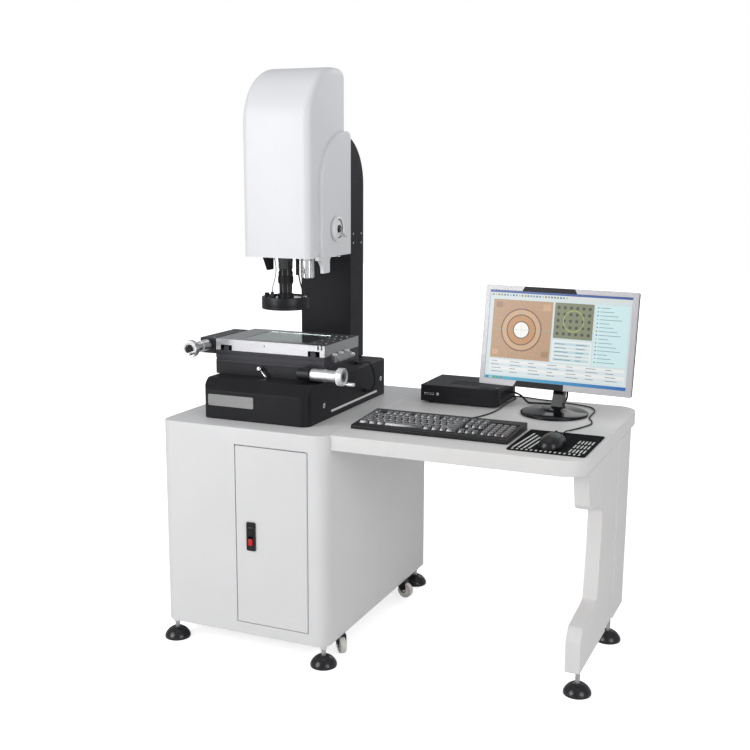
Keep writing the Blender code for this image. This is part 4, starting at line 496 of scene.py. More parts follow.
def piece(name, mesh, look, body="workstation", replaces=(), edge=0.0, corner=35, segments=3, smooth=35,
          frame_of=None):
    """Finished piece in the row frame, with softened edges."""
    if frame_of is not None:
        mesh.transform(frame_of)
    mesh.transform(Matrix.Translation(STATION))
    made = as_object(name, mesh)
    made.data.materials.append(look)
    made.data.shade_smooth()
    made.data.set_sharp_from_angle(angle=math.radians(smooth))
    if edge:
        soften = made.modifiers.new("edge", "BEVEL")
        soften.width = edge
        soften.segments = segments
        soften.limit_method = "ANGLE"
        soften.angle_limit = math.radians(corner)
        soften.harden_normals = True
        soften.miter_outer = "MITER_ARC"
    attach(made, body)
    if replaces:
        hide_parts(*([replaces] if isinstance(replaces, str) else replaces))
    return made


def tree_of(name, inputs):
    """Geometry node tree with named inputs."""
    tree = bpy.data.node_groups.new(name, "GeometryNodeTree")
    socket(tree, "INPUT", "NodeSocketGeometry", "Geometry")
    for kind, label, value in inputs:
        socket(tree, "INPUT", kind, label, value)
    socket(tree, "OUTPUT", "NodeSocketGeometry", "Geometry")
    return tree, node(tree, "NodeGroupInput").outputs, node(tree, "NodeGroupOutput").inputs


def end_tree(tree, given, result, instances):
    """Instances made real, with their material, at the tree's end."""
    real = node(tree, "GeometryNodeRealizeInstances")
    paint = node(tree, "GeometryNodeSetMaterial")
    wire(tree, (instances, real.inputs[0]), (real.outputs[0], paint.inputs["Geometry"]),
         (given["Material"], paint.inputs["Material"]), (paint.outputs[0], result["Geometry"]))


def rib_tree():
    """Ribs of one size set round a circle, about Z."""
    tree, given, result = tree_of("ribs_round_a_circle", (
        ("NodeSocketInt", "Count", 40), ("NodeSocketFloat", "Radius", 0.02),
        ("NodeSocketVector", "Rib", (0.001, 0.001, 0.01)), ("NodeSocketFloat", "Lift", 0.0),
        ("NodeSocketMaterial", "Material", None)))
    circle = node(tree, "GeometryNodeMeshCircle")
    shift = node(tree, "GeometryNodeTransform")
    rise = node(tree, "ShaderNodeCombineXYZ")
    rib = node(tree, "GeometryNodeMeshCube")
    place = node(tree, "GeometryNodeInstanceOnPoints")
    step = maths(tree, "DIVIDE", 2 * math.pi, given["Count"])
    turn = node(tree, "ShaderNodeCombineXYZ")
    wire(tree, (given["Count"], circle.inputs["Vertices"]), (given["Radius"], circle.inputs["Radius"]),
         (circle.outputs[0], shift.inputs["Geometry"]), (given["Lift"], rise.inputs["Z"]),
         (rise.outputs[0], shift.inputs["Translation"]), (given["Rib"], rib.inputs["Size"]),
         (maths(tree, "MULTIPLY", node(tree, "GeometryNodeInputIndex").outputs[0], step), turn.inputs["Z"]),
         (shift.outputs[0], place.inputs["Points"]), (rib.outputs["Mesh"], place.inputs["Instance"]),
         (turn.outputs[0], place.inputs["Rotation"]))
    end_tree(tree, given, result, place.outputs[0])
    return tree


def row_tree():
    """Blocks of one size in a straight row from the origin."""
    tree, given, result = tree_of("blocks_in_a_row", (
        ("NodeSocketInt", "Count", 10), ("NodeSocketVector", "Step", (0.01, 0, 0)),
        ("NodeSocketVector", "Block", (0.001, 0.001, 0.01)), ("NodeSocketMaterial", "Material", None)))
    line = node(tree, "GeometryNodeMeshLine")
    block = node(tree, "GeometryNodeMeshCube")
    place = node(tree, "GeometryNodeInstanceOnPoints")
    wire(tree, (given["Count"], line.inputs["Count"]), (given["Step"], line.inputs["Offset"]),
         (given["Block"], block.inputs["Size"]), (line.outputs[0], place.inputs["Points"]),
         (block.outputs["Mesh"], place.inputs["Instance"]))
    end_tree(tree, given, result, place.outputs[0])
    return tree


def screw_tree():
    """Socket head screws on points, all facing one given way."""
    tree, given, result = tree_of("socket_screws", (
        ("NodeSocketFloat", "Radius", 0.004), ("NodeSocketFloat", "Height", 0.003),
        ("NodeSocketVector", "Facing", (0, 0, 1)), ("NodeSocketMaterial", "Material", None)))
    head = node(tree, "GeometryNodeMeshCylinder")
    head.inputs["Vertices"].default_value = 28
    key = node(tree, "GeometryNodeMeshCylinder")
    key.inputs["Vertices"].default_value = 6
    drop = node(tree, "GeometryNodeTransform")
    rise = node(tree, "ShaderNodeCombineXYZ")
    carve = node(tree, "GeometryNodeMeshBoolean", operation="DIFFERENCE")
    aim = node(tree, "FunctionNodeAlignRotationToVector", axis="Z")
    place = node(tree, "GeometryNodeInstanceOnPoints")
    wire(tree, (given["Radius"], head.inputs["Radius"]), (given["Height"], head.inputs["Depth"]),
         (maths(tree, "MULTIPLY", given["Radius"], 0.52), key.inputs["Radius"]),
         (given["Height"], key.inputs["Depth"]),
         (maths(tree, "MULTIPLY", given["Height"], 0.45), rise.inputs["Z"]),
         (key.outputs["Mesh"], drop.inputs["Geometry"]), (rise.outputs[0], drop.inputs["Translation"]),
         (head.outputs["Mesh"], carve.inputs[0]), (drop.outputs[0], carve.inputs[1]),
         (given["Facing"], aim.inputs["Vector"]), (given["Geometry"], place.inputs["Points"]),
         (carve.outputs["Mesh"], place.inputs["Instance"]), (aim.outputs[0], place.inputs["Rotation"]))
    end_tree(tree, given, result, place.outputs[0])
    return tree


RIBS = rib_tree()
ROW = row_tree()
SCREWS = screw_tree()


def grown(tree, look, points=((0, 0, 0),), **values):
    """Mesh that a geometry node tree makes from points, with its inputs by name."""
    seed = bmesh.new()
    for point in points:
        seed.verts.new(point)
    made = as_object("seed", seed)
    step = made.modifiers.new("grow", "NODES")
    step.node_group = tree
    names = {item.name: item.identifier for item in tree.interface.items_tree if item.in_out == "INPUT"}
    for label, value in {**values, "Material": look}.items():
        step[names[label]] = value
    return settled(made)


def screws(name, look, points, facing, radius, height, body="workstation"):
    mesh = grown(SCREWS, look, points, Radius=radius, Height=height, Facing=facing)
    return piece(name, mesh, look, body, smooth=30)


def photo_camera():
    """The photograph's camera, and the plain view transform."""
    lens = bpy.data.cameras.new("photo_camera")
    lens.sensor_width = 36.0
    lens.lens = CAMERA_LENS
    lens.clip_end = 100.0
    camera = bpy.data.objects.new("photo_camera", lens)
    bpy.context.scene.collection.objects.link(camera)
    turns = [Matrix.Rotation(math.radians(angle), 4, axis)
             for angle, axis in ((CAMERA_YAW, "Z"), (90 + CAMERA_PITCH, "X"), (CAMERA_ROLL, "Z"))]
    camera.matrix_world = Matrix.Translation(CAMERA_PLACE) @ (turns[0] @ turns[1] @ turns[2])
    bpy.context.scene.camera = camera
    bpy.context.scene.view_settings.view_transform = "Standard"


def studio_world():
    """Soft light from all round, and pure white for the camera and behind glass."""
    world = bpy.data.worlds.new("studio")
    world.use_nodes = True
    bpy.context.scene.world = world
    tree = world.node_tree
    tree.nodes.clear()
    path = node(tree, "ShaderNodeLightPath")
    seen = maths(tree, "MAXIMUM", path.outputs["Is Camera Ray"], path.outputs["Is Transmission Ray"])
    soft = node(tree, "ShaderNodeBackground")
    soft.inputs["Color"].default_value = (0.96, 0.98, 1.0, 1)
    soft.inputs["Strength"].default_value = 0.42
    white = node(tree, "ShaderNodeBackground")
    white.inputs["Color"].default_value = (1, 1, 1, 1)
    choice = node(tree, "ShaderNodeMixShader")
    result = node(tree, "ShaderNodeOutputWorld")
    wire(tree, (seen, choice.inputs[0]), (soft.outputs[0], choice.inputs[1]),
         (white.outputs[0], choice.inputs[2]), (choice.outputs[0], result.inputs["Surface"]))


def pale_floor():
    """White floor that keeps the shadow near the object and fades into the background."""
    sheet = bmesh.new()
    bmesh.ops.create_grid(sheet, x_segments=1, y_segments=1, size=12.0)
    floor = as_object("floor", sheet)
    pale, tree, shader = blank("floor_white", Base_Color=(0.90, 0.90, 0.90, 1), Roughness=0.9,
                               Emission_Color=(1, 1, 1, 1))
    path = node(tree, "ShaderNodeLightPath")
    away = node(tree, "ShaderNodeVectorMath", operation="LENGTH")
    glow = node(tree, "ShaderNodeMapRange", interpolation_type="SMOOTHSTEP")
    for label, value in (("From Min", 0.9), ("From Max", 2.6), ("To Min", 0.66), ("To Max", 1.0)):
        glow.inputs[label].default_value = value
    wire(tree, (node(tree, "ShaderNodeTexCoord").outputs["Object"], away.inputs[0]),
         (away.outputs["Value"], glow.inputs["Value"]))
    wire(tree, (maths(tree, "MULTIPLY", path.outputs["Is Camera Ray"], glow.outputs["Result"]),
                shader.inputs["Emission Strength"]))
    floor.data.materials.append(pale)


def studio_lamps():
    """Soft round lamps, and upright strips that only show in glossy surfaces."""
    for name, (place, aim, width, height, power) in LAMPS.items():
        data = bpy.data.lights.new(name, "AREA")
        data.shape = "RECTANGLE" if height else "DISK"
        data.size = width
        if height:
            data.size_y = height
        data.energy = power
        lamp = bpy.data.objects.new(name, data)
        lamp.visible_diffuse = not height
        bpy.context.scene.collection.objects.link(lamp)
        lamp.location = place
        lamp.rotation_euler = (Vector(aim) - Vector(place)).to_track_quat("-Z", "Y").to_euler()


def cabinet_plan(inset):
    right, rear = CABINET_W - inset, CABINET_D - inset
    front_r, rear_r = CABINET_FRONT_R - inset, max(CABINET_REAR_R - inset, 0.001)
    return rounded([(inset, inset, front_r), (right, inset, front_r), (right, rear, rear_r),
                    (inset, rear, rear_r)], 14)


def rolled(plan, low, high, radius, steps=5, under=False):
    """Body over a plan(inset) outline whose top edge is rolled over, and its lower one too if asked."""
    quarter = [math.pi / 2 * step / steps for step in range(steps + 1)]
    levels = [(0.0, low)]
    if under:
        levels = [(radius * (1 - math.sin(t)), low + radius * (1 - math.cos(t))) for t in quarter]
    levels += [(radius * (1 - math.cos(t)), high - radius * (1 - math.sin(t))) for t in quarter]
    return loft([[(u, v, z) for u, v in plan(inset)] for inset, z in levels])


def cabinet():
    """Folded sheet cabinet, its door and latch."""
    left, right, low, top = DOOR
    body = rolled(cabinet_plan, CABINET_BOTTOM, WORKTOP, 0.003)
    hollow = prism(cabinet_plan(SHEET), "Z", CABINET_BOTTOM + SHEET, WORKTOP - 1.2 * SHEET)
    jamb = box(left - SHEET, right + SHEET, SHEET / 2, 0.020, low - SHEET, top + SHEET)
    way = box(left, right, -SHEET, 0.030, low, top)
    shell = worked(worked(body, cuts=[hollow]), cuts=[way], joins=[jamb])
    piece("cabinet_body", shell, POWDER_WHITE, replaces="cabinet_shell", edge=0.0009, corner=50, smooth=30)
    pins = [rod(HINGE_PIN_R, (*HINGE, low - 0.001), (*HINGE, low + 0.0115)),
            rod(HINGE_PIN_R, (*HINGE, top + 0.001), (*HINGE, top - 0.0115))]
    piece("hinge_pins", gathered(*pins), BRIGHT_STEEL)
    sockets = [rod(0.011, (x, y, CABINET_BOTTOM + 0.001), (x, y, CABINET_BOTTOM + 0.018))
               for x in CASTER_X.values() for y in CASTER_Y.values()]
    piece("caster_sockets", gathered(*sockets), GROUND_STEEL)

    corner, hinge_corner = 0.0015, DOOR_THICK / 2 - 0.00001
    near, far = left + DOOR_SEAM, right - DOOR_SEAM
    plan = rounded([(near, 0, corner), (far, 0, hinge_corner), (far, DOOR_THICK, hinge_corner),
                    (near, DOOR_THICK, corner)], 8)
    leaf = prism(plan, "Z", low + DOOR_SEAM, top - DOOR_SEAM)
    bore_low = rod(HINGE_PIN_R + GAP, (*HINGE, low), (*HINGE, low + DOOR_SEAM + 0.0103))
    bore_top = rod(HINGE_PIN_R + GAP, (*HINGE, top - DOOR_SEAM - 0.0103), (*HINGE, top))
    hole = box(LATCH_X - 0.0113, LATCH_X + 0.0113, -0.002, 0.0078, 0.3147, 0.3903)
    piece("door_leaf", worked(leaf, cuts=[bore_low, bore_top, hole]), POWDER_WHITE, "door", "cabinet_door",
          edge=0.0012, corner=50, smooth=30)

    face = prism(rectangle(LATCH_X - 0.014, LATCH_X + 0.014, 0.311, 0.394, 0.004), "Y", -0.0043, -GAP)
    neck = box(LATCH_X - 0.011, LATCH_X + 0.011, -0.002, 0.0075, 0.315, 0.390)
    wells = [box(LATCH_X - 0.008, LATCH_X + 0.008, -0.008, 0.0055, 0.347, 0.3813),
             box(LATCH_X - 0.0068, LATCH_X + 0.0068, -0.008, 0.0023, 0.3267, 0.3463)]
    piece("latch_frame", worked(worked(face, joins=[neck]), cuts=wells), MOULDED_BLACK, "door",
          "latch_housing", edge=0.0006)
    side = rounded([(-0.0057, 0.353, 0.001), (-0.0005, 0.353, 0.001), (0.0015, 0.381, 0.003),
                    (-0.0057, 0.381, 0.003)], 6)
    grip = prism(side, "X", LATCH_X - 0.0077, LATCH_X + 0.0077)
    ridges = [box(LATCH_X - 0.0062, LATCH_X + 0.0062, -0.0061, -0.005, z, z + 0.0011)
              for z in (0.356, 0.359, 0.362, 0.365)]
    piece("latch_lever_grip", gathered(grip, *ridges), GLOSS_BLACK, "latch_lever", "latch_lever", edge=0.0004)
    key = prism(rectangle(LATCH_X - 0.0065, LATCH_X + 0.0065, 0.327, 0.346, 0.0022), "Y", -0.0078, -0.0013)
    piece("latch_button_cap", key, RED_PLASTIC, "latch_button", "latch_button", edge=0.0011, segments=4)


def hexagon(x, y, across):
    """Corners of a hexagon round a point, with its width across the flats."""
    corner = across / math.sqrt(3)
    return [(x + corner * math.cos(math.radians(turn)), y + corner * math.sin(math.radians(turn)))
            for turn in range(0, 360, 60)]


def feet():
    """Levelling feet: moulded dome, stud and lock nut."""
    for name, (x, y) in FEET.items():
        under = CABINET_BOTTOM if name.startswith("cabinet") else LEG_BOTTOM
        dome = [(0, 0), (0.0355, 0), (0.0370, 0.0008), (0.0376, 0.0028), (0.0376, 0.0062), (0.0368, 0.0095),
                (0.0345, 0.0140), (0.0310, 0.0190), (0.0265, 0.0238), (0.0215, 0.0276), (0.0165, 0.0304),
                (0.0135, 0.0318), (0.0125, 0.0318), (0.0118, 0.0306), (0, 0.0306)]
        piece("foot_dome_" + name, aimed(turned(dome, 56), (x, y, 0)), FOOT_BLACK,
              replaces="foot_" + name, smooth=50)
        stud = rod(STUD_R, (x, y, 0.015), (x, y, under + 0.008), 28)
        threads = [aimed(turned([(0.0058, 0), (0.0064, 0.0004), (0.0058, 0.0008)], 28, hollow=True),
                         (x, y, z))
                   for z in (THREAD_LOW + THREAD_PITCH * step
                             for step in range(int((under - THREAD_LOW - 0.010) / THREAD_PITCH)))]
        piece("foot_stud_" + name, gathered(stud, *threads), GROUND_STEEL, smooth=50)
        nut = prism(hexagon(x, y, NUT_ACROSS), "Z", under - GAP - NUT_HIGH, under - GAP)
        piece("foot_nut_" + name, nut, BRIGHT_STEEL, edge=0.0007)


def casters():
    """Swivel casters: pressed forks, ball races, axle bolts and milky wheels."""
    top = CABINET_BOTTOM - GAP
    for name, turn in CASTER_TURN.items():
        end, hand = name.split("_")
        swivel = Matrix.Rotation(math.radians(turn), 4, "Z")
        local = Matrix.Translation((CASTER_X[hand], CASTER_Y[end], 0)) @ swivel
        half = 0.0107
        plate = 0.0025
        crown = prism(rounded([(-half - plate, -0.028, 0.004), (half + plate, -0.028, 0.004),
                               (half + plate, 0.012, 0.010), (-half - plate, 0.012, 0.010)], 6), "Z",
                      top - 0.004, top)
        eye = 0.0065
        side = rounded([(-CASTER_TRAIL - eye, CASTER_AXLE_Z - eye, eye * 0.98),
                        (-CASTER_TRAIL + eye, CASTER_AXLE_Z - eye, eye * 0.98),
                        (0.010, top - 0.002, 0), (-0.026, top - 0.002, 0)], 8)
        arms = [prism(side, "X", edge, edge + plate) for edge in (-half - plate, half)]
        race = rod(0.0115, (0, 0, top - 0.0065), (0, 0, top - 0.0035), 40)
        piece("fork_" + name, worked(crown, joins=[*arms, race]), SATIN_BLACK, "caster_fork_" + name,
              "caster_fork_" + name, edge=0.0006, frame_of=local)
        face, tip = half + plate, half + plate + 0.003
        axle = (-CASTER_TRAIL, CASTER_AXLE_Z)
        bolts = [rod(0.0045, (sign * face, *axle), (sign * tip, *axle), 28, 0.0008) for sign in (-1, 1)]
        bolts.append(rod(CASTER_AXLE_R, (-tip, *axle), (tip, *axle), 20))
        bolts.append(rod(0.005, (0, 0, top - 0.004), (0, 0, CABINET_BOTTOM + 0.016), 20))
        piece("axle_" + name, gathered(*bolts), BRIGHT_STEEL, "caster_fork_" + name, frame_of=local)
        wide = 0.0095
        tread = [(0.0033, -wide), (0.0085, -wide), (0.0092, -wide + 0.0006), (0.0105, -wide + 0.0024),
                 (0.0190, -wide + 0.0024), (0.0202, -wide + 0.0008), (0.0216, -wide + 0.0005),
                 (0.0232, -wide + 0.0016), (0.0239, -wide + 0.0036), (0.0240, -wide + 0.0055)]
        tread += [(radius, -height) for radius, height in reversed(tread)]
        piece("wheel_" + name, aimed(turned(tread, 64, hollow=True), (0, *axle), (1, 0, 0)), NYLON,
              "caster_wheel_" + name, "caster_wheel_" + name, frame_of=local, smooth=40)


def desk():
    """Desk board with rolled edges and the shaped leg."""
    left = CABINET_W + GAP

    def plan(inset):
        right, front, rear = DESK_RIGHT - inset, DESK_FRONT + inset, CABINET_D - inset
        corner = DESK_CORNER_R - inset
        return rounded([(left, front, 0), (right, front, corner), (right, rear, corner), (left, rear, 0)], 20)

    board = rolled(plan, DESK_UNDER, WORKTOP, 0.0025, under=True)
    piece("desk_board", board, BOARD_WHITE, replaces="desk_top", smooth=30)

    top = DESK_UNDER - GAP
    side = rounded([(0.088, top, 0), (0.115, 0.514, 0.030), (0.238, 0.493, 0.020), (0.272, 0.470, 0.022),
                    (0.268, 0.380, 0.120), (0.246, 0.226, 0.014), (0.212, 0.219, 0.010),
                    (0.092, 0.206, 0.020), (0.069, 0.176, 0.010), (0.069, LEG_BOTTOM, 0.004),
                    (0.609, LEG_BOTTOM, 0.004), (0.632, top, 0)], 10)
    leg = prism(side, "X", DESK_RIGHT - 0.040, DESK_RIGHT)
    fold = box(DESK_RIGHT - 0.004, DESK_RIGHT + 0.002, 0.371, 0.473, 0.080, 0.640)
    piece("desk_leg_panel", worked(leg, cuts=[fold]), BOARD_WHITE, replaces="desk_leg", edge=0.0016,
          corner=40, smooth=30)


def machine_body():
    """Base with its plate, stripe and side bolts, and the arched column."""
    left, right, front, rear = BASE

    def plan(inset):
        return rectangle(left + inset, right - inset, front + inset, rear - inset, BASE_CORNER_R - inset, 12)

    block = rolled(plan, BASE_LOW, BASE_TOP, 0.004, 4)
    slope = prism([(0.058, 0.7281), (0.130, 0.7901), (0.058, 0.7901)], "X", left - 0.01, right + 0.01)
    gland = rod(0.006, (right - 0.002, *BASE_GLAND), (right + 0.010, *BASE_GLAND), 32)
    wells = [rod(0.0095, (right - 0.004, *at), (right + 0.004, *at), 36) for at in BASE_BOLTS]
    body = worked(worked(block, cuts=[slope, *wells]), joins=[gland])
    piece("base_casting", body, CRINKLE_BLACK, replaces="machine_base", edge=0.0022, corner=28, smooth=30)
    screws("base_side_bolts", BRIGHT_STEEL, [(right - 0.0030, *at) for at in BASE_BOLTS], (1, 0, 0),
           0.0078, 0.006)
    plate = prism(rectangle(0.115, 0.263, 0.699, 0.732, 0.004), "Y", front - 0.0012, front + 0.0002)
    piece("name_plate", plate, NAME_PLATE, edge=0.0004)
    stripe = prism(rectangle(0.225, 0.552, 0.6770, 0.6835, 0.0025), "X", right - 0.0002, right + 0.0010)
    piece("base_stripe", stripe, WHITE_PLASTIC, edge=0.0004)

    spring = COLUMN_REAR - COLUMN_ARCH_R
    run = COLUMN_FRONT - spring
    start = math.atan2(math.sqrt(COLUMN_ARCH_R ** 2 - run ** 2), run)
    side = [(COLUMN_FRONT, BASE_TOP + GAP), (COLUMN_REAR, BASE_TOP + GAP)]
    side += arc((spring, COLUMN_ARCH_Z), COLUMN_ARCH_R, 0, start, 40)
    pillar = prism(side, "X", AXIS_X - COLUMN_W / 2, AXIS_X + COLUMN_W / 2)
    piece("column_casting", pillar, CRINKLE_BLACK, replaces="column", edge=0.004, corner=45,
          smooth=30, segments=4)
    screws("column_side_screws", BRIGHT_STEEL,
           [(AXIS_X + 0.0866, *at) for at in COLUMN_BOLTS],
           (1, 0, 0), 0.0034, 0.0022)


def hood_ring(x, inset, low):
    """Side outline of the hood at one x, drawn in by the inset."""
    front, rear, top = HOOD_FRONT + inset, HOOD_REAR - inset, HOOD_TOP - inset
    sweep = (HOOD_FRONT + 0.178, HOOD_TOP - 0.165)
    path = [Vector((front, low))]
    path += ellipse(sweep, sweep[0] - front, top - sweep[1], math.pi, math.pi / 2, 28)
    rear_r = max(0.030 - inset, 0.004)
    path += arc((rear - rear_r, top - rear_r), rear_r, math.pi / 2, 0, 10)
    path.append(Vector((rear, low)))
    return [(x, y, z) for y, z in path]


def hood_body(inset, low):
    """Hood as a closed body with rounded side edges; the smaller one cuts out its inside."""
    left, right = HOOD_LEFT + inset, HOOD_RIGHT - inset
    edge = HOOD_EDGE_R - inset
    near = [(edge * (1 - math.sin(t)), edge * (1 - math.cos(t))) for t in
            (math.pi / 2 * step / 10 for step in range(10, -1, -1))]
    stations = [(left + run, inset + drop) for run, drop in near]
    stations += [(right - run, inset + drop) for run, drop in reversed(near)]
    return loft([hood_ring(x, drop, low) for x, drop in stations])


def cheek(inner, side):
    """Arched side cover with a rolled outer edge; side is 1 on the right, -1 on the left."""
    roll, steps = 0.0048, 8

    def ring(x, inset):
        outline = ellipse((0.445, 1.320), 0.175 - inset, 0.156 - inset, math.pi, math.pi / 2, 36)
        outline += arc((0.445, 1.455), 0.021 - inset, math.pi / 2, 0, 10)[1:]
        outline += [Vector((0.466 - inset, HOOD_LOW)), Vector((0.270 + inset, HOOD_LOW))]
        return [(x, y, z) for y, z in outline]

    rings = [ring(inner, 0.0)]
    for step in range(steps + 1):
        t = math.pi / 2 * step / steps
        rings.append(ring(inner + side * (COVER_THICK - roll + roll * math.sin(t)), roll * (1 - math.cos(t))))
    return loft(rings)


def cheek_tab(inner):
    """Lug with a hollow front edge under the right side cover."""
    low = HOOD_LOW
    outline = [(0.331, low + 0.004), (0.331, low), (0.3245, low - 0.0025), (0.3212, low - 0.0070),
               (0.320, low - 0.014)]
    outline += arc((0.314, low - 0.039), 0.006, 0, -math.pi / 2, 6) + [(0.280, low - 0.045)]
    outline += arc((0.246, low - 0.040), 0.034, 0, math.pi / 2, 14) + [(0.246, low + 0.004)]
    return prism(outline, "X", inner, inner + 0.0110)


def head_covers():
    """Rounded hood, the arched side covers and the Z hand wheel."""
    window = box(AXIS_X - 0.065, AXIS_X + 0.065, HOOD_REAR - 0.012, HOOD_REAR + 0.002, 1.150, 1.370)
    hood = worked(hood_body(0, HOOD_LOW), cuts=[hood_body(HOOD_WALL, HOOD_LOW - 0.002)])
    piece("hood_shell", worked(hood, cuts=[window]), COVER_WHITE, "head", "front_cover", edge=0.0007,
          corner=50, smooth=32)
    inner = HOOD_RIGHT + GAP
    outer = inner + COVER_THICK
    bore = rod(0.0083, (inner - 0.002, Z_WHEEL_Y, Z_WHEEL_Z), (outer + 0.002, Z_WHEEL_Y, Z_WHEEL_Z))
    arch = gathered(worked(cheek(inner, 1), cuts=[bore]), cheek_tab(inner))
    piece("cheek_right", arch, COVER_WHITE, "head", "side_cover_right", edge=0.0010, corner=50, smooth=32)
    piece("cheek_left", cheek(HOOD_LEFT - GAP, -1), COVER_WHITE, "head", "side_cover_left", edge=0.0010,
          corner=50, smooth=32)

    thick = COVER_THICK
    dish = [(0, thick + 0.0148), (0.0085, thick + 0.0148), (0.0100, thick + 0.0140),
            (0.0112, thick + 0.0112), (0.0135, thick + 0.0098), (0.0260, thick + 0.0090),
            (0.0282, thick + 0.0112), (0.0296, thick + 0.0137), (0.0312, thick + 0.0142),
            (0.0334, thick + 0.0140), (0.0350, thick + 0.0126), (0.0355, thick + 0.0105),
            (0.0355, thick + 0.0052), (0.0345, thick + 0.0030), (0.0300, thick + 0.0016),
            (0.008, thick + 0.0005), (0.008, 0), (0, 0)]
    centre = (inner, Z_WHEEL_Y, Z_WHEEL_Z)
    piece("z_wheel_disc", aimed(turned(dish, 96), centre, (1, 0, 0)), WHEEL_WHITE, "z_handwheel",
          "z_handwheel", smooth=40)
    # Dark rings in the dish's creases, at the foot of the rim and round the eye, are painted shade
    groove = [(0.0258, thick + 0.0088), (0.0276, thick + 0.0088), (0.0276, thick + 0.0107),
              (0.0258, thick + 0.0094)]
    eye = [(0.0080, thick + 0.0140), (0.0112, thick + 0.0110), (0.0114, thick + 0.0118),
           (0.0102, thick + 0.0146), (0.0086, thick + 0.0152), (0.0080, thick + 0.0152)]
    dark = gathered(turned(groove, 96, hollow=True), turned(eye, 64, hollow=True))
    piece("z_wheel_crease_shade", aimed(dark, centre, (1, 0, 0)), DARK_PARTS_AND_SHADE, "z_handwheel", smooth=40)
    grip_at = (outer + 0.010, Z_WHEEL_Y + 0.013, Z_WHEEL_Z - 0.019)
    grip = [(0, 0), (0.0030, 0), (0.0030, 0.0030), (0.0045, 0.0050), (0.0050, 0.0090), (0.0046, 0.0160),
            (0.0040, 0.0196), (0.0024, 0.0206), (0, 0.0208)]
    piece("z_wheel_knob", aimed(turned(grip, 32), grip_at, (1, 0, 0)), TURNED_X, "z_handwheel", smooth=50)
    screws("z_wheel_screw", SATIN_BLACK, [(outer + 0.0149, Z_WHEEL_Y, Z_WHEEL_Z)], (1, 0, 0), 0.0070,
           0.0022, "z_handwheel")


